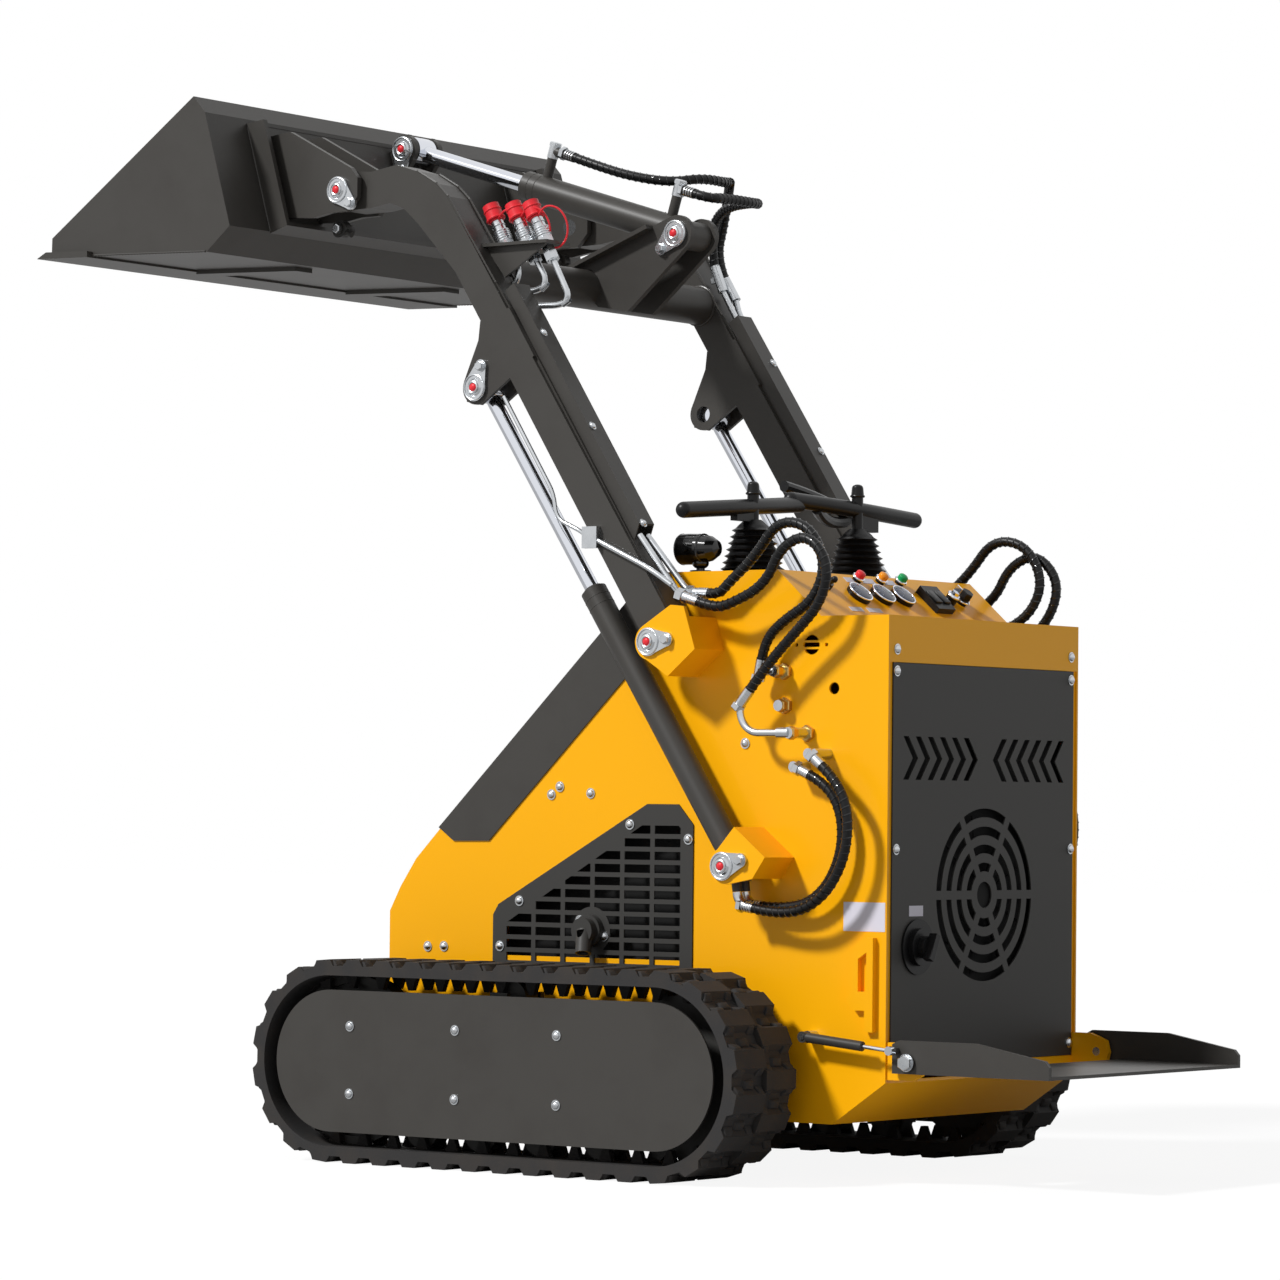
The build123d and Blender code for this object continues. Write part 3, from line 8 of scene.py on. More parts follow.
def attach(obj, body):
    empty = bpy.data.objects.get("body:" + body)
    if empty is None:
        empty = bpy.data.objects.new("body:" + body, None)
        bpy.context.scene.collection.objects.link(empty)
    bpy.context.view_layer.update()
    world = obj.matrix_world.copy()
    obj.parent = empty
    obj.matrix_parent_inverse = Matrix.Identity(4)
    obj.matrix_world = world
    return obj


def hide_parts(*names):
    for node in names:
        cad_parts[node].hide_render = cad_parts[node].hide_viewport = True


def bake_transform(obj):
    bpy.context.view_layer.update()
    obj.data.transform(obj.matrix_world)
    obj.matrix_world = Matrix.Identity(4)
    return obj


bl_info = {
    "name": "Mini Skid Steer Loader",
    "version": (1, 0, 0),
    "blender": (4, 5, 0),
    "location": "3D View > Sidebar > Loader",
    "description": "Finishes, tread, hoses, controls and fittings of a small tracked loader",
    "category": "Object",
}

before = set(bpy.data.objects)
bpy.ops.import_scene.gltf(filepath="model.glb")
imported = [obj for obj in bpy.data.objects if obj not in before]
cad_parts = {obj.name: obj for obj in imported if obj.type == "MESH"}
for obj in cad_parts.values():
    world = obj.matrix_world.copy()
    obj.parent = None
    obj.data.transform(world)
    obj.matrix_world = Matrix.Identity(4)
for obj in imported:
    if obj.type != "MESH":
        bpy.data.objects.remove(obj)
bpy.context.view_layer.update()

# Lengths are in mm from the middle of the tracks, this far behind the frame's origin.
DATUM_X = 35.2
SIDES = (("left", 1), ("right", -1))

# Where the loader arms, the lift cylinders and the tilt cylinder turn (X, Z).
ARM_PIVOT = (-258.0, 973.0)
LIFT_BASE = (-430.0, 566.0)
LIFT_EYE = (168.0, 1458.0)
ARM_TIP = (499.0, 1852.0)
TILT_BASE = (-38.0, 1771.0)
TILT_EYE = (647.0, 1983.0)
CROSS_TUBE = (182.0, 1676.0)

# Outer faces, as distances from the middle plane.
SIDE_FACE = 316.0
GRILLE_FACE = 319.0
TRACK_COVER_FACE = 545.0
ARM_IN = 325.5
ARM_OUT = 393.5
LIFT_MID = 359.5
REAR_FACE_X = -725.0

# The loader arm's line from its pivot, and its faces off that line.
ARM_ANGLE = math.radians(56.75)
ARM_REAR = -55.0
ARM_COVER_REAR = -81.0

# The sloped console, from its top edge down to the ledge (X, Z).
CONSOLE_TOP = (-479.0, 1105.0)
CONSOLE_FOOT = (-577.0, 1019.0)

# The rubber tracks' loop.
TRACK_MID_Y = 460.0
TRACK_PITCH = 72.0
TRACK_LINKS = 36
TRACK_HALF_RUN = 380.0
TRACK_OUTER_R = 190.0
LUG_HEIGHT = 12.0

# The platform's hinge (X, Z).
STEP_HINGE = (-779.0, 223.0)


def linear(code):
    """Turns an sRGB hex colour into the linear colour that Blender's sockets hold."""
    parts = [int(code[i:i + 2], 16) / 255 for i in (1, 3, 5)]
    parts = [c / 12.92 if c <= 0.04045 else ((c + 0.055) / 1.055) ** 2.4 for c in parts]
    return (*parts, 1.0)


def place(x, y, z):
    """A point in metres in the frame's axes, from one in millimetres."""
    return Vector(((x - DATUM_X) / 1000, y / 1000, z / 1000))


def around(centre, degrees, radius, y):
    """A point in millimetres on a circle about a pin, seen from the left."""
    angle = math.radians(degrees)
    return (centre[0] + radius * math.cos(angle), y, centre[1] + radius * math.sin(angle))


def toward(start, goal, length):
    """The point a length along the way from start to goal."""
    way = Vector(goal) - Vector(start)
    return tuple(Vector(start) + way.normalized() * length)


def arm_point(run, off, y):
    """A point along the loader arm from its pivot, off to its front side."""
    c, s = math.cos(ARM_ANGLE), math.sin(ARM_ANGLE)
    return (ARM_PIVOT[0] + run * c + off * s, y, ARM_PIVOT[1] + run * s - off * c)


def between(start, end, run, rise, y):
    """A point down a sloped line in XZ, raised off its upper side."""
    dx, dz = end[0] - start[0], end[1] - start[1]
    size = math.hypot(dx, dz)
    return (start[0] + (dx * run + dz * rise) / size, y,
            start[1] + (dz * run - dx * rise) / size)


def console_point(run, y, rise=0.0):
    return between(CONSOLE_TOP, CONSOLE_FOOT, run, rise, y)


def tilt_point(run, rise):
    """A point along the tilt cylinder's axis and rise above it."""
    return between(TILT_EYE, TILT_BASE, math.dist(TILT_EYE, TILT_BASE) - run, rise, 0.0)


class LoaderSizes(bpy.types.PropertyGroup):
    hose_diameter: bpy.props.FloatProperty(
        name="Hose diameter", description="Outside diameter of the hydraulic hoses",
        default=0.018, min=0.006, max=0.04, unit="LENGTH")
    guard_pitch: bpy.props.FloatProperty(
        name="Guard pitch", description="Length of one turn of the hoses' spiral guard",
        default=0.0135, min=0.004, max=0.05, unit="LENGTH")
    screw_width: bpy.props.FloatProperty(
        name="Screw width", description="Width of the cover screws' round heads",
        default=0.015, min=0.005, max=0.04, unit="LENGTH")
    weld_width: bpy.props.FloatProperty(
        name="Weld width", description="Width of the weld beads on the arms and the bucket",
        default=0.005, min=0.001, max=0.02, unit="LENGTH")


class LoaderColours(bpy.types.PropertyGroup):
    body_yellow: bpy.props.FloatVectorProperty(
        name="Body yellow", description="Powder coat on the body panels",
        default=linear("#FFB405"), size=4, min=0, max=1, subtype="COLOR")
    arm_charcoal: bpy.props.FloatVectorProperty(
        name="Arm charcoal", description="Paint on the arms, bucket and plates",
        default=linear("#3E3C39"), size=4, min=0, max=1, subtype="COLOR")
    panel_black: bpy.props.FloatVectorProperty(
        name="Panel black", description="Paint on the rear panel and the grilles",
        default=linear("#353432"), size=4, min=0, max=1, subtype="COLOR")
    cap_red: bpy.props.FloatVectorProperty(
        name="Cap red", description="Dust caps, pin centres and the red button",
        default=linear("#E8303A"), size=4, min=0, max=1, subtype="COLOR")


def sizes():
    return bpy.context.scene.loader_sizes


def colours():
    return bpy.context.scene.loader_colours


# Materials

def add(tree, kind, inputs=None, **settings):
    """Adds a node with its settings, and fills its sockets with values or links."""
    node = tree.nodes.new(kind)
    for name, value in settings.items():
        setattr(node, name, value)
    for socket, value in (inputs or {}).items():
        if isinstance(value, bpy.types.NodeSocket):
            tree.links.new(value, node.inputs[socket])
        else:
            node.inputs[socket].default_value = value
    return node


def surface(name, colour, roughness, metallic=0.0, mottle=None, grain=None, coat=0.0,
            shine=0.3):
    """A finish with mottled colour and fine grain.

    mottle is (second colour, patch size in mm, share from 0 to 1), grain is
    (size in mm, depth in mm), and shine is how strongly a bare face mirrors.
    """
    found = bpy.data.materials.get(name)
    if found:
        return found
    material = bpy.data.materials.new(name)
    material.use_nodes = True
    tree = material.node_tree
    tree.nodes.clear()
    shader = add(tree, "ShaderNodeBsdfPrincipled",
                 {"Roughness": roughness, "Metallic": metallic, "Base Color": colour})
    if not metallic:
        shader.inputs["Specular IOR Level"].default_value = shine
    if coat:
        shader.inputs["Coat Weight"].default_value = coat
        shader.inputs["Coat Roughness"].default_value = 0.12
    where = add(tree, "ShaderNodeTexCoord")
    if mottle:
        other, patch, share = mottle
        noise = add(tree, "ShaderNodeTexNoise",
                    {"Vector": where.outputs["Object"], "Scale": 1000 / patch, "Detail": 4.0,
                     "Roughness": 0.6})
        ramp = add(tree, "ShaderNodeMapRange",
                   {"Value": noise.outputs["Fac"], "From Min": 0.45, "From Max": 0.7,
                    "To Min": 0.0, "To Max": share})
        mix = add(tree, "ShaderNodeMix",
                  {"Factor": ramp.outputs["Result"], 6: colour, 7: other}, data_type="RGBA")
        tree.links.new(mix.outputs[2], shader.inputs["Base Color"])
    if grain:
        size, depth = grain
        noise = add(tree, "ShaderNodeTexNoise",
                    {"Vector": where.outputs["Object"], "Scale": 1000 / size, "Detail": 2.0})
        bump = add(tree, "ShaderNodeBump",
                   {"Height": noise.outputs["Fac"], "Distance": depth / 1000, "Strength": 1.0})
        tree.links.new(bump.outputs["Normal"], shader.inputs["Normal"])
    add(tree, "ShaderNodeOutputMaterial", {"Surface": shader.outputs["BSDF"]})
    return material


def powder_coat():
    # Baked powder coat on sheet steel: glossy, with a faint orange peel.
    return surface("Powder coat, yellow", colours().body_yellow, 0.34, coat=0.06,
                   grain=(5.0, 0.05), shine=0.2)


def arm_enamel():
    # Sprayed enamel on welded plate: a soft sheen, slightly uneven.
    return surface("Sprayed enamel, charcoal", colours().arm_charcoal, 0.42,
                   mottle=(linear("#35322F"), 160.0, 0.5), grain=(4.0, 0.06))


def panel_enamel():
    # Satin enamel on bolted sheet covers: darker and flatter than the arms.
    return surface("Satin enamel, black", colours().panel_black, 0.5, grain=(3.0, 0.04))


def cast_iron():
    # Painted cast iron of the engine: dull and rough.
    return surface("Painted cast iron", linear("#2E2F30"), 0.7, grain=(3.0, 0.2))


def moulded_rubber():
    # Moulded track rubber: matt, greyed by wear, with dried brown mud.
    return surface("Moulded rubber, track", linear("#313030"), 0.72,
                   mottle=(linear("#443D36"), 90.0, 0.4), grain=(5.0, 0.25), shine=0.2)


def hose_rubber():
    # Extruded rubber cover of a hydraulic hose: black with a soft sheen.
    return surface("Extruded rubber, hose", linear("#0C0C0D"), 0.38, shine=0.25)


def guard_plastic():
    # Wound polyethylene guard: black and shiny, so each turn takes a glint.
    return surface("Wound polyethylene, guard", linear("#0E0F11"), 0.16, shine=0.5)


def hard_chrome():
    # Ground hard chrome on cylinder rods: a mirror with a cool tint.
    return surface("Hard chrome, ground", linear("#DADDE4"), 0.1, metallic=1.0)


def zinc_plate():
    # Bright zinc on pipes and fittings: silvery, slightly clouded.
    return surface("Zinc plate, bright", linear("#C6C9CC"), 0.26, metallic=1.0,
                   mottle=(linear("#A6A9AD"), 26.0, 0.4))


def yellow_zinc():
    # Chromated zinc on adapters: a thin gold tint over silver.
    return surface("Zinc plate, chromated", linear("#C9A765"), 0.3, metallic=1.0)


def moulded_plastic():
    # Moulded nylon and rubber controls: black with a low gloss.
    return surface("Moulded nylon, black", linear("#0E0E0F"), 0.36, shine=0.25)


def gloss_plastic():
    # Polished ABS lamp shell: deep black gloss.
    return surface("Polished ABS, black", linear("#0C0C0C"), 0.12, coat=0.4)


def red_plastic():
    # Soft PVC dust caps: saturated red with a soft gloss.
    return surface("Soft PVC, red", colours().cap_red, 0.35)


def amber_plastic():
    # Moulded lens of the amber button: clear orange with a soft gloss.
    return surface("Moulded acrylic, amber", linear("#F79A1C"), 0.25)


def green_plastic():
    # Moulded lens of the green button.
    return surface("Moulded acrylic, green", linear("#12A05A"), 0.25)


def dial_glass():
    # Tinted glass over a dark dial: blue-grey, and it mirrors the light.
    return surface("Dial glass, tinted", linear("#25324F"), 0.14, coat=0.2)


def dial_print():
    # Screen-printed marks on the dials: flat pale grey.
    return surface("Screen print, grey", linear("#9FA6B4"), 0.6)


def vinyl_plate():
    # Blank vinyl plates: off-white with a satin face.
    return surface("Satin vinyl, off-white", linear("#DAD7E2"), 0.45)


def lens_painted_reflector():
    # Pressed glass of the work lamp; its pale colour is a painted reflection of the bright
    # reflector behind it.
    return surface("Pressed glass, painted reflector", linear("#C9D0D6"), 0.06, coat=0.8)


def shaded_inside_black():
    # Radiator, fan and ducts behind the slots: near black and matt, painted shade of the unlit
    # inside; the ducts are dark sheets that stand for the shade behind the grilles.
    return surface("Matt black, painted shade core", linear("#121212"), 0.9)


def weld_metal():
    # Painted weld beads: the arms' enamel, shinier on the ripples.
    return surface("Sprayed enamel, weld", colours().arm_charcoal, 0.3)


# Each finish with its nodes, where a star stands for left and right.
FINISHES = (
    (powder_coat, "nose_plate side_panel_* console_panel arm_boss_* ram_boss_* rear_frame "
                  "belly_plate step_brackets"),
    (arm_enamel, "loader_arm_* arm_cover_* cross_tube bucket attach_plate lift_barrel_* "
                 "tilt_barrel step hood track_cover_*"),
    (panel_enamel, "rear_panel side_grille_* strut_body_* track_frame_* sprocket_* idler_* "
                   "rollers_*"),
    (cast_iron, "engine_block"),
    (moulded_rubber, "track_*"),
    (hard_chrome, "lift_rod_* tilt_rod strut_rod_*"),
    (zinc_plate, "arm_pins attach_pins body_pins step_bolts hose_ends arm_pipes"),
    (moulded_plastic, "control_levers switches"),
    (gloss_plastic, "work_lamp"),
    (red_plastic, "coupler_caps"),
    (hose_rubber, "hose_arm hose_body hose_lift hose_tilt"),
)


# Shapes, with every length in mm unless a line says otherwise.

def upright(direction):
    """The turn that takes the Z axis to a direction."""
    return Vector(direction).to_track_quat("Z", "Y").to_matrix().to_4x4()


def rod(bm, start, end, radius, radius_end=None, sides=24):
    """A closed round or many-sided bar between two points."""
    start, end = place(*start), place(*end)
    way = end - start
    radius_end = radius if radius_end is None else radius_end
    turn = Matrix.Translation(start + way / 2) @ upright(way)
    bmesh.ops.create_cone(bm, cap_ends=True, segments=sides, radius1=radius / 1000,
                          radius2=radius_end / 1000, depth=way.length, matrix=turn)


def dome(bm, spot, way, radius, height, sides=16):
    """A round head whose flat middle lies on a face."""
    size = Matrix.Diagonal((radius / 1000, radius / 1000, height / 1000, 1))
    turn = Matrix.Translation(place(*spot)) @ upright(way) @ size
    bmesh.ops.create_uvsphere(bm, u_segments=sides, v_segments=8, radius=1, matrix=turn)


def block(bm, low, high, edge=0.0, turn=0.0):
    """A box between two corners, its edges bevelled, turned about its middle in XZ."""
    low, high = place(*low), place(*high)
    size = Matrix.Diagonal((*(high - low), 1))
    about = Matrix.Translation((low + high) / 2) @ Matrix.Rotation(math.radians(turn), 4, "Y")
    verts = bmesh.ops.create_cube(bm, size=1, matrix=about @ size)["verts"]
    if edge:
        soften(bm, verts, edge)


def soften(bm, verts, edge, segments=2):
    """Bevels every edge between some vertices."""
    edges = list({e for v in verts for e in v.link_edges})
    bmesh.ops.bevel(bm, geom=edges, offset=edge / 1000, segments=segments, affect="EDGES",
                    profile=0.5, material=-1)


def ring(bm, centre, way, radius, thick, sides=32, rounds=8):
    """A closed ring of round section about a way."""
    middle = place(*centre)
    turn = Matrix.Translation(middle) @ upright(way)
    out = Matrix.Translation((radius / 1000, 0, 0)) @ Matrix.Rotation(math.pi / 2, 4, "X")
    made = bmesh.ops.create_circle(bm, segments=rounds, radius=thick / 1000, matrix=turn @ out)
    edges = list({e for v in made["verts"] for e in v.link_edges})
    bmesh.ops.spin(bm, geom=made["verts"] + edges, cent=middle, axis=Vector(way).normalized(),
                   dvec=(0, 0, 0), angle=2 * math.pi, steps=sides, use_merge=True)


def screw(bm, spot, way, width=None):
    """A button-head screw on its washer; way points out of the panel."""
    width = width or sizes().screw_width * 1000
    way = Vector(way).normalized()
    top = Vector(spot) + way * 1.8
    rod(bm, spot, top, width * 0.66, sides=20)
    dome(bm, top, way, width / 2, width * 0.36)


def nut(bm, start, way, length, width):
    """A six-sided nut with a chamfered far end; width across the corners."""
    way = Vector(way).normalized()
    start = Vector(start)
    rod(bm, start, start + way * (length - 1.5), width / 2, sides=6)
    rod(bm, start + way * (length - 1.5), start + way * length, width / 2, width / 2 - 1.5, 6)


def finish_piece(name, bm, material, body, smooth=True, blend=None):
    """Makes one mesh object at the origin from a bmesh, and puts it on its body."""
    bmesh.ops.recalc_face_normals(bm, faces=bm.faces)
    mesh = bpy.data.meshes.new(name)
    bm.to_mesh(mesh)
    bm.free()
    mesh.materials.append(material)
    piece = bpy.data.objects.new(name, mesh)
    bpy.context.scene.collection.objects.link(piece)
    if smooth:
        mesh.shade_smooth()
        mesh.set_sharp_from_angle(angle=math.radians(35))
    if blend:
        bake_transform(piece)
    else:
        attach(piece, body)
    return piece


def route_curve(points, thickness=0.0, rings=3, smooth=True, ripple=0.0):
    """An open curve through points in metres: smooth round its bends, or straight runs."""
    curve = bpy.data.curves.new("route", "CURVE")
    curve.dimensions = "3D"
    curve.resolution_u = 10
    curve.bevel_depth = thickness
    curve.bevel_resolution = rings
    curve.use_fill_caps = thickness > 0
    spline = curve.splines.new("NURBS" if smooth else "POLY")
    spline.points.add(len(points) - 1)
    for index, (point, spot) in enumerate(zip(spline.points, points)):
        point.co = (*spot, 1.0)
        point.radius = 1 - ripple * (index % 2)
    if smooth:
        spline.order_u = 3
        spline.use_endpoint_u = True
    return curve


def curve_mesh(curve):
    """The mesh that Blender makes of a curve."""
    holder = bpy.data.objects.new("route", curve)
    mesh = bpy.data.meshes.new_from_object(holder)
    bpy.data.objects.remove(holder)
    return mesh


def route_line(points):
    """Points along the smooth line of a route, in order."""
    return [vertex.co.copy() for vertex in curve_mesh(route_curve(points)).vertices]


def pipe(bm, points, radius, rings=3, smooth=True, ripple=0.0):
    """Adds a closed tube along a route in metres to a bmesh."""
    bm.from_mesh(curve_mesh(route_curve(points, radius, rings, smooth, ripple)))


def helix(line, radius, pitch, steps=10):
    """A spiral about a line, as points, with a whole frame carried along it."""
    points = []
    tangent = (line[1] - line[0]).normalized()
    normal = tangent.orthogonal().normalized()
    run = 0.0
    mark = 0.0
    for start, end in zip(line, line[1:]):
        way = end - start
        if way.length < 1e-6:
            continue
        normal = (tangent.rotation_difference(way) @ normal).normalized()
        tangent = way.normalized()
        while mark <= run + way.length:
            spot = start + tangent * (mark - run)
            turn = Matrix.Rotation(2 * math.pi * mark / pitch, 3, tangent)
            points.append(spot + (turn @ normal) * radius)
            mark += pitch / steps
        run += way.length
    return points


def bead(bm, *spots):
    """A rippled weld bead along straight runs between points."""
    radius = sizes().weld_width / 2
    for start, end in zip(spots, spots[1:]):
        start, end = place(*start), place(*end)
        count = max(2, round((end - start).length / (1.6 * radius)))
        pipe(bm, [start.lerp(end, step / count) for step in range(count + 1)], radius,
             rings=1, smooth=False, ripple=0.3)


def mirrored(route, side):
    return [(x, side * y, z) for x, y, z in route]


class LOADER_OT_finishes(bpy.types.Operator):
    """Gives every node of the frame its finish"""
    bl_idname = "loader.finishes"
    bl_label = "Finishes"

    def execute(self, context):
        for finish, names in FINISHES:
            for name in names.split():
                for word in ("left", "right") if "*" in name else ("",):
                    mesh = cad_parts[name.replace("*", word)].data
                    mesh.materials.clear()
                    mesh.materials.append(finish())
        return {"FINISHED"}


# Hoses, as routes in millimetres on the left side; the right side mirrors them.

LIFT_ELBOWS = [around(LIFT_BASE, 262.0, 70.0, y) for y in (347.0, 372.0)]
LIFT_HOSES = (
    [toward(LIFT_ELBOWS[0], (-545, 351, 489), 34), (-545, 351, 489), (-610, 350, 520),
     (-648, 350, 585), (-652, 350, 655), (-622, 350, 712), (-578, 350, 732)],
    [toward(LIFT_ELBOWS[1], (-548, 375, 478), 34), (-548, 375, 478), (-625, 376, 508),
     (-672, 376, 575), (-684, 376, 652), (-662, 376, 716), (-622, 374, 748)],
)
ARM_HOSES = (
    [(-352, 352, 1062), (-376, 352, 1061), around(ARM_PIVOT, 142, 170, 352),
     around(ARM_PIVOT, 142, 250, 352), (-506, 354, 1192), (-580, 358, 1180),
     (-618, 360, 1110), (-590, 358, 1045), (-520, 354, 1010), (-478, 351, 975),
     (-470, 350, 940)],
    [(-345, 376, 1046), (-378, 376, 1036), around(ARM_PIVOT, 157, 166, 376),
     around(ARM_PIVOT, 157, 258, 376), (-528, 378, 1140), (-590, 380, 1165),
     (-640, 382, 1110), (-622, 380, 1040), (-560, 376, 985), (-500, 374, 930),
     (-462, 374, 885)],
)
# The two X between which each upper hose passes from the arms to the body; nothing makes the
# hose bend there.
ARM_HOSE_GIVE = ((-362.0, -462.0), (-352.0, -458.0))

# The tilt cylinder's hoses run to pipes on the right arm.
TILT_HOSES = (
    [(245, 0, 1942.3), (200, 0, 1926), (120, -12, 1899), (40, -40, 1884), (2, -90, 1895),
     (2, -180, 1895), (70, -275, 1912), (120, -335, 1885), (145, -358, 1840),
     arm_point(905, -84, -366), arm_point(855, -77, -366)],
    [(-48.3, 0, 1851.6), (-86, 0, 1840), (-84, -52, 1846), (-84, -170, 1846),
     (-20, -225, 1860), (85, -275, 1862), (162, -335, 1826), arm_point(882, -81, -346)],
)
# The two Y between which the tilt hoses pass from the tilt barrel to the arm; nothing makes them
# bend there.
TILT_HOSE_GIVE = (-95.0, -185.0)

# Ports on the tilt barrel: how far along it, and from which rise to which.
TILT_PORT_RUNS = (376.0, 54.0)
TILT_PORT_FOOT = 66.0
TILT_PORT_TOP = 90.0

# Crimp rings on a hose's end: how far along its sleeve, and their size.
CRIMP_RUNS = (3, 9, 15, 21)
CRIMP_R = 9.6

# Ports on the body's side (X, Z) and how far each adapter stands out.
PORTS = (((-499.0, 919.0), 350.0), ((-501.0, 857.0), 336.0), ((-551.0, 807.0), 374.0))


def hose(name, route, body, blend=None, nodes=()):
    """A hose with its spiral guard."""
    radius = sizes().hose_diameter / 2
    points = [place(*spot) for spot in route]
    line = route_line(points)
    bm = bmesh.new()
    pipe(bm, points, radius, rings=4)
    tube = finish_piece(name, bm, hose_rubber(), body, blend=blend)
    bm = bmesh.new()
    pipe(bm, helix(line, radius, sizes().guard_pitch), 0.0016, rings=0, smooth=False)
    guard = finish_piece(name + "_guard", bm, guard_plastic(), body, blend=blend)
    if nodes:
        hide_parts(*nodes)


class LOADER_OT_lift_hoses(bpy.types.Operator):
    """Makes the hoses from the body to the lift cylinders"""
    bl_idname = "loader.lift_hoses"
    bl_label = "Lift hoses"

    def execute(self, context):
        nodes = ["hose_lift"]
        for word, side in SIDES:
            for number, route in enumerate(LIFT_HOSES, 1):
                hose(f"lift_hose_{word}_{number}", mirrored(route, side), "chassis",
                     nodes=nodes)
                nodes = []
        return {"FINISHED"}


class LOADER_OT_arm_hoses(bpy.types.Operator):
    """Makes the hoses that loop from the body to the pipes on the arms"""
    bl_idname = "loader.arm_hoses"
    bl_label = "Arm hoses"

    def execute(self, context):
        nodes = ["hose_body", "hose_arm"]
        for word, side in SIDES:
            for number, (route, give) in enumerate(zip(ARM_HOSES, ARM_HOSE_GIVE), 1):
                _, y, z = route[1]
                ends = [place(x, side * y, z) for x in give]
                hose(f"arm_hose_{word}_{number}", mirrored(route, side), None, nodes=nodes,
                     blend=("arms", "chassis", *ends))
                nodes = []
        return {"FINISHED"}


class LOADER_OT_tilt_hoses(bpy.types.Operator):
    """Makes the hoses from the tilt cylinder to the right arm"""
    bl_idname = "loader.tilt_hoses"
    bl_label = "Tilt hoses"

    def execute(self, context):
        nodes = ["hose_tilt"]
        give = [place(TILT_BASE[0], y, 1870) for y in TILT_HOSE_GIVE]
        for number, route in enumerate(TILT_HOSES, 1):
            hose(f"tilt_hose_{number}", route, None, nodes=nodes,
                 blend=("tilt_barrel", "arms", *give))
            nodes = []
        return {"FINISHED"}


class LOADER_OT_hose_fittings(bpy.types.Operator):
    """Makes the crimp rings, nuts and adapters at the ends of the hoses"""
    bl_idname = "loader.hose_fittings"
    bl_label = "Hose fittings"

    def crimp(self, bm, end, near, length, thread=16):
        """Rings along a crimped sleeve, and the nut at its far end."""
        way = (Vector(end) - Vector(near)).normalized()
        for run in CRIMP_RUNS:
            spot = Vector(end) + way * run
            ring(bm, spot, way, CRIMP_R, 1.1, sides=20, rounds=6)
        nut(bm, Vector(end) + way * length, way, thread, 27)

    def execute(self, context):
        body, arms, barrel, gold = (bmesh.new() for _ in range(4))
        for _, side in SIDES:
            for route, length in zip(ARM_HOSES, (28, 34)):
                spots = mirrored(route, side)
                self.crimp(arms, spots[0], spots[1], 34)
                self.crimp(body, spots[-1], spots[-2], length, 12)
            for route in LIFT_HOSES:
                spots = mirrored(route, side)
                self.crimp(body, spots[-1], spots[-2], 22, 12)
                self.crimp(body, spots[0], spots[1], 24, 10)
            for (x, z), out in PORTS:
                way = (0, side, 0)
                nut(gold, (x, side * SIDE_FACE, z), way, 11, 31)
                nut(gold, (x, side * (out - 12), z), way, 15, 25)
        for route in TILT_HOSES:
            self.crimp(arms, route[-1], route[-2], 22, 12)
            self.crimp(barrel, route[0], route[1], 26, 10)
        for run in TILT_PORT_RUNS:
            way = Vector(tilt_point(run, 1)) - Vector(tilt_point(run, 0))
            top = tilt_point(run, TILT_PORT_TOP)
            nut(barrel, top, way, 8, 26)
            rod(barrel, tilt_point(run, TILT_PORT_FOOT), top, 11.4)
        finish_piece("body_fittings", body, zinc_plate(), "chassis")
        finish_piece("arm_fittings", arms, zinc_plate(), "arms")
        finish_piece("barrel_fittings", barrel, zinc_plate(), "tilt_barrel")
        finish_piece("port_adapters", gold, yellow_zinc(), "chassis")
        return {"FINISHED"}


# Keeper plates of the pins: body, pin (X, Z), their outer face, which way the plate points.
PINS = (
    ("chassis", ARM_PIVOT, 413.0, 175, SIDES),
    ("chassis", LIFT_BASE, 413.0, 165, SIDES),
    ("arms", LIFT_EYE, 399.5, 110, SIDES),
    ("arms", TILT_BASE, 51.0, -40, SIDES[:1]),
    ("tool", ARM_TIP, 417.5, -140, SIDES),
    ("tool", TILT_EYE, 49.0, -85, SIDES[:1]),
)
KEEPER_REACH = 42.0
HEAD_R = 17.0
HEAD_HIGH = 3.0
GREASE_CAP_R = 8.0


class LOADER_OT_pin_heads(bpy.types.Operator):
    """Makes the raised pin heads with red grease caps, and the keeper plates' bolts"""
    bl_idname = "loader.pin_heads"
    bl_label = "Pin heads"

    def execute(self, context):
        for body in ("chassis", "arms", "tool"):
            zinc, red = bmesh.new(), bmesh.new()
            for owner, (x, z), face, turn, sides in PINS:
                if owner != body:
                    continue
                for _, side in sides:
                    way = (0, side, 0)
                    top = (x, side * (face + HEAD_HIGH), z)
                    rod(zinc, (x, side * face, z), top, HEAD_R, HEAD_R - 3)
                    ring(zinc, (x, side * (face + HEAD_HIGH + 0.5), z), way, 10, 2.6)
                    dome(red, top, way, GREASE_CAP_R, 4.5)
                    ring(zinc, (x, side * (face + 0.4), z), way, 23.5, 1.3)
                    angle = math.radians(turn)
                    far = (x + KEEPER_REACH * math.cos(angle), side * face,
                           z + KEEPER_REACH * math.sin(angle))
                    rod(zinc, far, (far[0], side * (face + 2), far[2]), 11)
                    nut(zinc, (far[0], side * (face + 2), far[2]), way, 7, 18)
            finish_piece(f"pin_heads_{body}", zinc, zinc_plate(), body)
            finish_piece(f"grease_caps_{body}", red, red_plastic(), body)
        return {"FINISHED"}


# Screws on flat covers, as (X, Z) on the body's sides or (Y, Z) on the rear panel.
GRILLE_SCREWS = ((-151, 639), (-286, 613), (109, 493), (155, 407))
OUTLET_SCREWS = ((-36, 459), (-93, 431))
SIDE_SCREWS = ((37, 693), (17, 708), (-56, 696), (334, 402), (294, 403), (-411, 789))
COVER_SCREWS = ((331, 256), (77, 257), (-161, 256), (331, 130), (77, 130), (-161, 130))
REAR_SCREWS = ((290, 958), (290, 919), (-290, 961), (-290, 918), (289, 600), (-291, 601),
               (287, 240), (-291, 238))
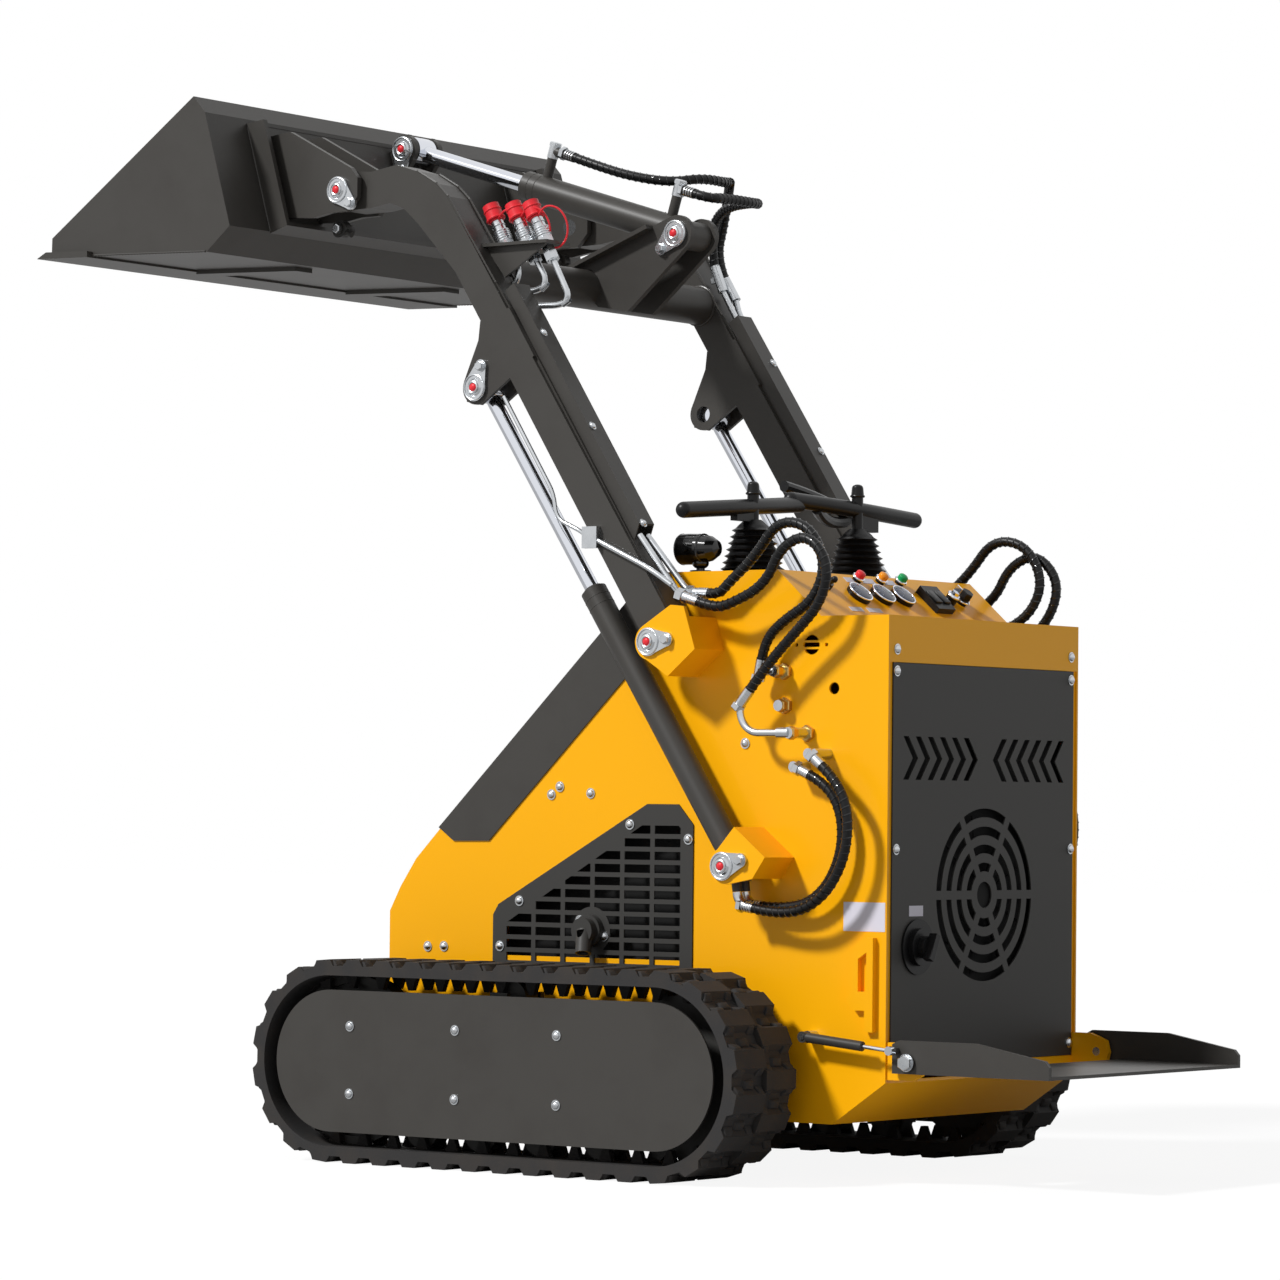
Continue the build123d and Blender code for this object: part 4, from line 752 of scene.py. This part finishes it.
# How far along the arm's cover its screws sit, and their distance from the middle.
ARM_COVER_SCREWS = (210.0, 430.0, 645.0)
ARM_COVER_Y = 368.0
# The platform's hinge bolts: where their washers and nuts start.
HINGE_WASHER_Y = 329.0
HINGE_NUT_Y = 331.5


class LOADER_OT_screws(bpy.types.Operator):
    """Makes the button-head screws that hold the covers"""
    bl_idname = "loader.screws"
    bl_label = "Screws"

    def execute(self, context):
        bm = bmesh.new()
        for _, side in SIDES:
            way = (0, side, 0)
            rows = ((GRILLE_SCREWS, GRILLE_FACE), (SIDE_SCREWS, SIDE_FACE),
                    (COVER_SCREWS, TRACK_COVER_FACE))
            for spots, face in rows:
                for x, z in spots:
                    screw(bm, (x, side * face, z), way)
        for x, z in OUTLET_SCREWS:
            screw(bm, (x, GRILLE_FACE, z), (0, 1, 0))
        for y, z in REAR_SCREWS:
            screw(bm, (REAR_FACE_X, y, z), (-1, 0, 0))
        x, z = STEP_HINGE
        for _, side in SIDES:
            face = (x, side * HINGE_NUT_Y, z)
            rod(bm, (x, side * HINGE_WASHER_Y, z), face, 16)
            nut(bm, face, (0, side, 0), 9, 29)
        finish_piece("screws", bm, zinc_plate(), "chassis")

        bm = bmesh.new()
        out = (-math.sin(ARM_ANGLE), 0, math.cos(ARM_ANGLE))
        for _, side in SIDES:
            for run in ARM_COVER_SCREWS:
                screw(bm, arm_point(run, ARM_COVER_REAR, side * ARM_COVER_Y), out, 13)
        finish_piece("arm_screws", bm, zinc_plate(), "arms")
        return {"FINISHED"}


# What stands on the console's slope, by how far down it is, and Y.
GAUGE_RUN = 62.0
GAUGE_YS = (126.0, 51.0, -15.0)
GAUGE_HIGH = 10.0
GAUGE_R = 24.6
BUTTON_RUN = 16.0
BUTTON_R = 9.4
KEY_Y = -176.0
SOCKET_Y = -214.0
ROCKER_RUN = 69.0
ROCKER_YS = (-130.0, -102.0)
TOGGLE_FOOT = (38.0, 206.0)
TOGGLE_HEAD = (58.0, 226.0)
CONSOLE_SLOPE = math.degrees(math.atan2(CONSOLE_TOP[1] - CONSOLE_FOOT[1],
                                        CONSOLE_TOP[0] - CONSOLE_FOOT[0]))
BUTTONS = ((82.0, red_plastic), (7.0, amber_plastic), (-57.0, green_plastic))
# Blank plates on the slope: how far down it, Y, length down and width across.
SLOPE_PLATES = ((16.0, 106.0, 14.0, 26.0), (16.0, 45.0, 14.0, 40.0), (16.0, -25.0, 14.0, 36.0),
                (104.0, 176.0, 12.0, 40.0), (104.0, 118.0, 12.0, 44.0))


def slope_slab(bm, middle, long, wide, high, edge=0.0):
    """A small block that lies along the console's slope."""
    x, y, z = middle
    block(bm, (x - long / 2, y - wide / 2, z - high / 2),
          (x + long / 2, y + wide / 2, z + high / 2), edge, -CONSOLE_SLOPE)


class LOADER_OT_console(bpy.types.Operator):
    """Makes the gauges' glasses, the buttons and the switches on the console"""
    bl_idname = "loader.console"
    bl_label = "Console"

    def execute(self, context):
        up = Vector(console_point(0, 0, 1)) - Vector(console_point(0, 0, 0))
        chrome, glass, marks, black = (bmesh.new() for _ in range(4))
        for y in GAUGE_YS:
            top = console_point(GAUGE_RUN, y, GAUGE_HIGH)
            ring(chrome, top, up, GAUGE_R, 1.7)
            dome(glass, top, up, GAUGE_R - 0.8, 3.0, 28)
            self.marks(marks, y)
        for y, finish in BUTTONS:
            foot, top = console_point(BUTTON_RUN, y, 8), console_point(BUTTON_RUN, y, 17)
            ring(chrome, foot, up, 10.5, 2.2)
            cap = bmesh.new()
            rod(cap, foot, top, BUTTON_R)
            dome(cap, top, up, BUTTON_R, 4.5)
            finish_piece(f"button_{finish.__name__}", cap, finish(), "chassis")

        # The key switch and the socket beside the switch block.
        key = [console_point(GAUGE_RUN, KEY_Y, rise) for rise in (14, 16, 25, 31)]
        ring(chrome, key[1], up, 11, 2.6)
        rod(chrome, key[0], key[2], 9, 8)
        slope_slab(chrome, key[3], 14, 4, 12)
        ring(chrome, console_point(GAUGE_RUN, SOCKET_Y, 8), up, 14, 2.2)
        nut(black, console_point(GAUGE_RUN, SOCKET_Y, 15), up, 12, 26)

        # The switch block's two rockers, and the toggle at the left.
        for y in ROCKER_YS:
            slope_slab(black, console_point(ROCKER_RUN, y, 15), 34, 20, 5, 1.5)
        head = console_point(*TOGGLE_HEAD, 30)
        rod(black, console_point(*TOGGLE_FOOT), console_point(*TOGGLE_FOOT, 10), 13)
        rod(black, console_point(*TOGGLE_FOOT, 8), head, 7, 5.5)
        dome(black, head, up, 6.5, 6.5)
        finish_piece("gauge_bezels", chrome, hard_chrome(), "chassis")
        finish_piece("gauge_glasses", glass, dial_glass(), "chassis")
        finish_piece("gauge_marks", marks, dial_print(), "chassis")
        finish_piece("console_switches", black, moulded_plastic(), "chassis")
        return {"FINISHED"}

    def marks(self, bm, y):
        """Short marks round a dial and its needle, on the glass."""
        across = Vector((0, 1, 0))
        down = Vector(console_point(1, 0)) - Vector(console_point(0, 0))
        centre = Vector(console_point(GAUGE_RUN, y, GAUGE_HIGH + 2.4))
        for step in range(9):
            angle = math.radians(-120 + 30 * step)
            way = across * math.sin(angle) - down * math.cos(angle)
            rod(bm, centre + way * 15, centre + way * 19, 0.7, sides=6)
        rod(bm, centre, centre + (across * 0.5 - down * 0.8) * 13, 0.7, sides=6)


class LOADER_OT_blank_plates(bpy.types.Operator):
    """Makes the plain blank plates on the side, the rear panel and the console"""
    bl_idname = "loader.blank_plates"
    bl_label = "Blank plates"

    def execute(self, context):
        bm = bmesh.new()
        block(bm, (-722, SIDE_FACE, 453), (-632, SIDE_FACE + 0.6, 505))
        block(bm, (REAR_FACE_X - 0.6, 201, 480), (REAR_FACE_X, 245, 499))
        for down, y, long, wide in SLOPE_PLATES:
            slope_slab(bm, console_point(down, y, 0.3), long, wide, 0.6)
        finish_piece("blank_plates", bm, vinyl_plate(), "chassis", smooth=False)
        return {"FINISHED"}


# The bent hand rest in front of the levers, and the trigger knobs on top (Y, Z).
LEVER_X = -317.0
HAND_REST = ((-240, -36, 1284), (-240, -161, 1268), (-240, -275, 1229), (-240, -167, 1220),
             (-300, -60, 1240))
HAND_REST_R = 0.011
KNOBS = ((170, 1262), (-170, 1276))


class LOADER_OT_levers(bpy.types.Operator):
    """Makes the hand rest and the trigger knobs of the control levers"""
    bl_idname = "loader.levers"
    bl_label = "Levers"

    def execute(self, context):
        bm = bmesh.new()
        pipe(bm, [place(*spot) for spot in HAND_REST], HAND_REST_R)
        for y, z in KNOBS:
            foot, top = (LEVER_X, y, z - 6), (LEVER_X, y, z + 10)
            rod(bm, foot, top, 12.5, 11)
            dome(bm, top, (0, 0, 1), 11, 7)
            ring(bm, foot, (0, 0, 1), 12, 2.4)
        finish_piece("lever_grips", bm, moulded_plastic(), "chassis")
        return {"FINISHED"}


LAMP = (-262.0, 258.0, 1150.0)
LAMP_FRONT = 40.0
LAMP_R = 29.0


class LOADER_OT_lamp(bpy.types.Operator):
    """Makes the work lamp's lens, bezel and pivot screws"""
    bl_idname = "loader.lamp"
    bl_label = "Work lamp"

    def execute(self, context):
        x, y, z = LAMP
        bm = bmesh.new()
        # The lens is pale all over, a painted reflection of the lamp's reflector.
        dome(bm, (x + LAMP_FRONT - 0.5, y, z), (1, 0, 0), LAMP_R - 4, 4, 32)
        finish_piece("lamp_lens", bm, lens_painted_reflector(), "chassis")
        bm = bmesh.new()
        ring(bm, (x + LAMP_FRONT, y, z), (1, 0, 0), LAMP_R - 2, 2.6)
        ring(bm, (x - 8, y, z), (1, 0, 0), 0.92 * LAMP_R, 2.0)
        for side in (-1, 1):
            rod(bm, (x + 14, y + side * 27, z), (x + 14, y + side * 34, z), 6)
        dome(bm, (x, y, z - LAMP_R + 2), (0, 0, -1), 16, 11)
        finish_piece("lamp_bezel", bm, gloss_plastic(), "chassis")
        return {"FINISHED"}


# Quick couplers on the left arm: their feet on the shelf, and how far they lean.
COUPLER_XS = (150.0, 96.0, 54.0)
COUPLER_Y = 330.5
COUPLER_FOOT_Z = 1733.0
COUPLER_LEAN = math.radians(27)
# A cap's cord, as steps in mm from its coupler's neck.
CAP_CORD = ((0, 0, 0), (-12, 10, 4), (-34, 14, 22), (-62, 6, 14), (-76, -2, -16),
            (-66, -8, -48), (-40, -8, -62), (-22, -4, -52))


class LOADER_OT_couplers(bpy.types.Operator):
    """Makes the quick couplers' nuts and collars, and their caps with cords"""
    bl_idname = "loader.couplers"
    bl_label = "Couplers"

    def up(self, x, run):
        return (x + math.sin(COUPLER_LEAN) * run, COUPLER_Y,
                COUPLER_FOOT_Z + math.cos(COUPLER_LEAN) * run)

    def execute(self, context):
        way = (math.sin(COUPLER_LEAN), 0, math.cos(COUPLER_LEAN))
        zinc, red, cord = (bmesh.new() for _ in range(3))
        for x in COUPLER_XS:
            nut(zinc, self.up(x, -6), way, 14, 35)
            nut(zinc, self.up(x, -40), way, 18, 28)
            nut(zinc, self.up(x, -22), way, 12, 25)
            for run in (12, 17, 22, 27):
                ring(zinc, self.up(x, run), way, 15.2, 1.6, sides=24)
            ring(zinc, self.up(x, 40), way, 12.4, 1.4, sides=24)
            rod(red, self.up(x, 56), self.up(x, 84), 17, 16)
            dome(red, self.up(x, 84), way, 16, 5)
            ring(red, self.up(x, 56), way, 16.6, 2.4)
            ring(red, self.up(x, 74), way, 16.4, 1.6)
            neck = Vector(self.up(x, 52))
            pipe(cord, [place(*(neck + Vector(step))) for step in CAP_CORD], 0.002, rings=2)
            ring(cord, self.up(x, 52), way, 13.5, 1.8, sides=24)
        finish_piece("coupler_fittings", zinc, zinc_plate(), "arms")
        finish_piece("coupler_cap_ribs", red, red_plastic(), "arms")
        finish_piece("coupler_cap_cords", cord, red_plastic(), "arms")
        return {"FINISHED"}


def loop_matrix(run, radius, y):
    """The place and turn of a spot on the track loop, its Z axis pointing out."""
    flat = 2 * TRACK_HALF_RUN
    arc = TRACK_PITCH * TRACK_LINKS / 2 - flat
    run = run % (TRACK_PITCH * TRACK_LINKS)
    if run < flat:
        x, z, turn = run - TRACK_HALF_RUN, radius, 0.0
    elif run < flat + arc:
        turn = math.pi * (run - flat) / arc
        x, z = TRACK_HALF_RUN + radius * math.sin(turn), radius * math.cos(turn)
    elif run < 2 * flat + arc:
        x, z, turn = TRACK_HALF_RUN - (run - flat - arc), -radius, math.pi
    else:
        turn = math.pi + math.pi * (run - 2 * flat - arc) / arc
        x, z = radius * math.sin(turn) - TRACK_HALF_RUN, radius * math.cos(turn)
    spot = place(x, y, TRACK_OUTER_R + z)
    return Matrix.Translation(spot) @ Matrix.Rotation(turn, 4, "Y")


# Tread blocks beside each lug: where along the link and across its half of the track,
# length, width and height in mm, and how much narrower the top is.
TREAD_BLOCKS = (
    (0.0, 74.0, 62.0, 26.0, 9.5, 0.72),
    (0.0, 12.0, 60.0, 22.0, 10.0, 0.66),
    (30.0, 44.0, 20.0, 34.0, 5.0, 0.7),
)
TREAD_SINK = 2.5


class LOADER_OT_tread(bpy.types.Operator):
    """Makes the stepped tread blocks on both rubber tracks"""
    bl_idname = "loader.tread"
    bl_label = "Tread"

    def execute(self, context):
        base = TRACK_OUTER_R - LUG_HEIGHT
        for word, side in SIDES:
            bm = bmesh.new()
            for link in range(TRACK_LINKS):
                for row, phase in ((-1, 0.25), (1, 0.75)):
                    for ahead, across, long, wide, high, share in TREAD_BLOCKS:
                        run = (link + phase) * TRACK_PITCH + ahead
                        y = side * (TRACK_MID_Y + row * across)
                        deep = high + TREAD_SINK
                        turn = loop_matrix(run, base - TREAD_SINK + deep / 2, y)
                        size = Matrix.Diagonal((long / 1000, wide / 1000, 1, 1))
                        eighth = Matrix.Rotation(math.pi / 4, 4, "Z")
                        bmesh.ops.create_cone(bm, cap_ends=True, segments=4,
                                              radius1=math.sqrt(0.5),
                                              radius2=math.sqrt(0.5) * share,
                                              depth=deep / 1000,
                                              matrix=turn @ size @ eighth)
            soften(bm, bm.verts[:], 1.2, 1)
            finish_piece(f"tread_{word}", bm, moulded_rubber(), "chassis")
        return {"FINISHED"}


# The bucket's back plate, from its foot to its head (X, Z).
BACK_FOOT = (650.0, 1779.0)
BACK_HEAD = (718.0, 2003.0)
# Weld beads up it: how far out behind it, from and to how far up, and at which Y.
BUCKET_WELDS = (
    (1, 0, 216, (439, 429)),
    (29, 24, 186, (306.5, 320.5, 398.5, 412.5)),
    (29, 132, 200, (30.5, 43.5)),
)
# The bends of the weld along each edge of an arm's rear, above its cover (X, Z).
ARM_BEND = ((243, 1826), (271, 1852), (319, 1879))


def bucket_back(rise, out, y):
    """A point up the bucket's back plate and out behind it."""
    return between(BACK_FOOT, BACK_HEAD, rise, -out, y)


class LOADER_OT_welds(bpy.types.Operator):
    """Makes the weld beads on the arms and the bucket"""
    bl_idname = "loader.welds"
    bl_label = "Welds"

    def execute(self, context):
        arms, tool = bmesh.new(), bmesh.new()
        for _, side in SIDES:
            ring(arms, (CROSS_TUBE[0], side * (ARM_IN - 1), CROSS_TUBE[1]), (0, 1, 0), 39, 2.4)
            for y in (ARM_IN + 1, ARM_OUT - 1):
                bead(arms, arm_point(780, ARM_REAR + 0.5, side * y),
                     *[(x, side * y, z) for x, z in ARM_BEND])
            for out, low, high, ys in BUCKET_WELDS:
                for y in ys:
                    bead(tool, bucket_back(low, out, side * y), bucket_back(high, out, side * y))
            bead(tool, (712, side * 556, 1733), (1100, side * 556, 1746))
        finish_piece("arm_welds", arms, weld_metal(), "arms")
        finish_piece("bucket_welds", tool, weld_metal(), "tool")
        return {"FINISHED"}


# Cylinders: how far from the pin the barrel ends, the gland nut's and the rings' radius.
LIFT_GLAND = (608.0, 22.0, 24.6)
TILT_GLAND = (420.0, 25.0, 28.6)


class LOADER_OT_gland_rings(bpy.types.Operator):
    """Makes the gland nuts where the rods enter the cylinders"""
    bl_idname = "loader.gland_rings"
    bl_label = "Gland rings"

    def gland(self, name, body, base, eye, sizes_of):
        """One cylinder's gland nut, with two rings on its barrel."""
        end, nut_r, ring_r = sizes_of
        bm = bmesh.new()
        rod(bm, toward(base, eye, end - 1), toward(base, eye, end + 5), nut_r, nut_r - 4)
        for back in (18, 36):
            ring(bm, toward(base, eye, end - back), Vector(eye) - Vector(base), ring_r, 1.0)
        finish_piece(name, bm, arm_enamel(), body)

    def execute(self, context):
        for word, side in SIDES:
            y = side * LIFT_MID
            self.gland(f"gland_{word}", f"lift_barrel_{word}", (LIFT_BASE[0], y, LIFT_BASE[1]),
                       (LIFT_EYE[0], y, LIFT_EYE[1]), LIFT_GLAND)
        self.gland("gland_tilt", "tilt_barrel", (TILT_BASE[0], 0, TILT_BASE[1]),
                   (TILT_EYE[0], 0, TILT_EYE[1]), TILT_GLAND)
        return {"FINISHED"}


# The radiator behind the rear panel and the ducts behind the grilles, as corners,
# and the fan's middle (X, Z), its hub and its blades.
RADIATOR = ((-705, -285, 240), (-690, 285, 900))
DUCT = ((-290, 268, 375), (170, 272, 665))
FAN = (-712.0, 517.0)
FAN_HUB_R = 42.0
FAN_BLADES = 9
FAN_BLADE_R = 90.0


class LOADER_OT_cores(bpy.types.Operator):
    """Makes the radiator, fan and duct behind the slots, near black as painted shade of the
    unlit inside
    """
    bl_idname = "loader.cores"
    bl_label = "Cores"

    def execute(self, context):
        bm = bmesh.new()
        block(bm, *RADIATOR)
        # The ducts are thin sheets, near black as painted shade behind the grilles.
        for _, side in SIDES:
            block(bm, *mirrored(DUCT, side))
        x, z = FAN
        rod(bm, (x - 7, 0, z), (x + 7, 0, z), FAN_HUB_R)
        for step in range(FAN_BLADES):
            angle = 2 * math.pi * step / FAN_BLADES
            spot = (x, FAN_BLADE_R * math.cos(angle), z + FAN_BLADE_R * math.sin(angle))
            turn = (Matrix.Translation(place(*spot)) @ Matrix.Rotation(angle, 4, "X")
                    @ Matrix.Rotation(math.radians(35), 4, "Y")
                    @ Matrix.Diagonal((0.003, 0.115, 0.004, 1)))
            bmesh.ops.create_cube(bm, size=1, matrix=turn)
        finish_piece("cores", bm, shaded_inside_black(), "chassis", smooth=False)
        return {"FINISHED"}


# The lock levers' pivot (X, Z) and the Y of their inner and outer ends.
LOCK_PIVOT = (548.0, 1786.0)
LOCK_IN = 318.0
LOCK_OUT = 358.0


class LOADER_OT_lock_levers(bpy.types.Operator):
    """Makes the black lock levers under the quick attach, with their bolts"""
    bl_idname = "loader.lock_levers"
    bl_label = "Lock levers"

    def execute(self, context):
        black, zinc = bmesh.new(), bmesh.new()
        for _, side in SIDES:
            x, z = LOCK_PIVOT
            rod(black, (x, side * LOCK_IN, z), (x, side * LOCK_OUT, z), 11)
            rod(black, (x, side * 336, z), (x, side * 354, z), 17)
            rod(black, (x, side * 345, z), (x - 26, side * 345, z - 12), 8, 6)
            nut(zinc, (x, side * LOCK_OUT, z), (0, side, 0), 7, 18)
        finish_piece("lock_levers", black, panel_enamel(), "tool")
        finish_piece("lock_bolts", zinc, zinc_plate(), "tool")
        return {"FINISHED"}


# The camera that took the photograph, solved from it, in metres.
CAMERA_SPOT = (-5.7541, 7.6138, 0.6636)
CAMERA_RIGHT = (-0.79604273, -0.60515538, 0.01014614)
CAMERA_UP = (-0.01283189, 0.03363483, 0.99935181)
CAMERA_LENS = 139.31
# The way to the sun, and how much of the white world falls on the object.
SUN_WAY = (0.34, 0.66, 0.67)
SUN_STRENGTH = 3.2
WORLD_SHARE = 0.22
# How bright the floor glows, and its share of what the camera sees.
FLOOR_GLOW = 1.13
GLOW_SHARE = 0.8


class LOADER_OT_stage(bpy.types.Operator):
    """Sets up the floor, the lights, the background and the camera"""
    bl_idname = "loader.stage"
    bl_label = "Stage"

    def execute(self, context):
        bm = bmesh.new()
        bmesh.ops.create_grid(bm, x_segments=1, y_segments=1, size=30)
        mesh = bpy.data.meshes.new("floor")
        bm.to_mesh(mesh)
        bm.free()
        floor = bpy.data.objects.new("floor", mesh)
        floor.location.z = -0.0005
        context.scene.collection.objects.link(floor)

        material = bpy.data.materials.new("Painted studio floor")
        material.use_nodes = True
        tree = material.node_tree
        tree.nodes.clear()
        matt = add(tree, "ShaderNodeBsdfDiffuse", {"Color": linear("#CBCBCB")})
        white = add(tree, "ShaderNodeEmission", {"Strength": FLOOR_GLOW})
        seen = add(tree, "ShaderNodeLightPath")
        share = add(tree, "ShaderNodeMath",
                    {0: seen.outputs["Is Camera Ray"], 1: GLOW_SHARE}, operation="MULTIPLY")
        mix = add(tree, "ShaderNodeMixShader",
                  {0: share.outputs[0], 1: matt.outputs[0], 2: white.outputs[0]})
        add(tree, "ShaderNodeOutputMaterial", {"Surface": mix.outputs[0]})
        mesh.materials.append(material)

        world = bpy.data.worlds.new("studio")
        context.scene.world = world
        world.use_nodes = True
        tree = world.node_tree
        tree.nodes.clear()
        path = add(tree, "ShaderNodeLightPath")
        plain = path.outputs["Is Camera Ray"]
        for kind in ("Is Glossy Ray", "Is Transmission Ray"):
            plain = add(tree, "ShaderNodeMath", {0: plain, 1: path.outputs[kind]},
                        operation="MAXIMUM").outputs[0]
        level = add(tree, "ShaderNodeMapRange", {"Value": plain, "To Min": WORLD_SHARE,
                                                 "To Max": 1.0})
        sky = add(tree, "ShaderNodeBackground", {"Color": (1.0, 1.0, 1.0, 1.0),
                                                 "Strength": level.outputs[0]})
        add(tree, "ShaderNodeOutputWorld", {"Surface": sky.outputs[0]})

        sun = bpy.data.lights.new("window", "SUN")
        sun.energy = SUN_STRENGTH
        sun.angle = math.radians(7)
        lamp = bpy.data.objects.new("window", sun)
        lamp.rotation_euler = Vector(SUN_WAY).to_track_quat("Z", "Y").to_euler()
        context.scene.collection.objects.link(lamp)

        camera = bpy.data.cameras.new("camera")
        camera.sensor_width = 36.0
        camera.lens = CAMERA_LENS
        camera.clip_end = 100.0
        view = bpy.data.objects.new("camera", camera)
        right, up = Vector(CAMERA_RIGHT), Vector(CAMERA_UP)
        turn = Matrix((right, up, right.cross(up))).transposed().to_4x4()
        view.matrix_world = Matrix.Translation(CAMERA_SPOT) @ turn
        context.scene.collection.objects.link(view)
        context.scene.camera = view
        context.scene.view_settings.view_transform = "Standard"
        return {"FINISHED"}


class LOADER_PT_panel(bpy.types.Panel):
    """Lists the loader's pieces and sizes"""
    bl_label = "Loader"
    bl_idname = "LOADER_PT_panel"
    bl_space_type = "VIEW_3D"
    bl_region_type = "UI"
    bl_category = "Loader"

    def draw(self, context):
        for group in (context.scene.loader_sizes, context.scene.loader_colours):
            for name in group.__annotations__:
                self.layout.prop(group, name)
        for operator in OPERATORS:
            self.layout.operator(operator.bl_idname)


OPERATORS = (
    LOADER_OT_finishes,
    LOADER_OT_lift_hoses,
    LOADER_OT_arm_hoses,
    LOADER_OT_tilt_hoses,
    LOADER_OT_hose_fittings,
    LOADER_OT_pin_heads,
    LOADER_OT_screws,
    LOADER_OT_console,
    LOADER_OT_blank_plates,
    LOADER_OT_levers,
    LOADER_OT_lamp,
    LOADER_OT_couplers,
    LOADER_OT_tread,
    LOADER_OT_welds,
    LOADER_OT_gland_rings,
    LOADER_OT_cores,
    LOADER_OT_lock_levers,
    LOADER_OT_stage,
)
CLASSES = (LoaderSizes, LoaderColours) + OPERATORS + (LOADER_PT_panel,)


def register():
    for kind in CLASSES:
        bpy.utils.register_class(kind)
    bpy.types.Scene.loader_sizes = bpy.props.PointerProperty(type=LoaderSizes)
    bpy.types.Scene.loader_colours = bpy.props.PointerProperty(type=LoaderColours)


def unregister():
    del bpy.types.Scene.loader_colours
    del bpy.types.Scene.loader_sizes
    for kind in reversed(CLASSES):
        bpy.utils.unregister_class(kind)


def main():
    register()
    bpy.ops.loader.finishes()
    bpy.ops.loader.lift_hoses()
    bpy.ops.loader.arm_hoses()
    bpy.ops.loader.tilt_hoses()
    bpy.ops.loader.hose_fittings()
    bpy.ops.loader.pin_heads()
    bpy.ops.loader.screws()
    bpy.ops.loader.console()
    bpy.ops.loader.blank_plates()
    bpy.ops.loader.levers()
    bpy.ops.loader.lamp()
    bpy.ops.loader.couplers()
    bpy.ops.loader.tread()
    bpy.ops.loader.welds()
    bpy.ops.loader.gland_rings()
    bpy.ops.loader.cores()
    bpy.ops.loader.lock_levers()
    bpy.ops.loader.stage()


if __name__ == "__main__":
    main()
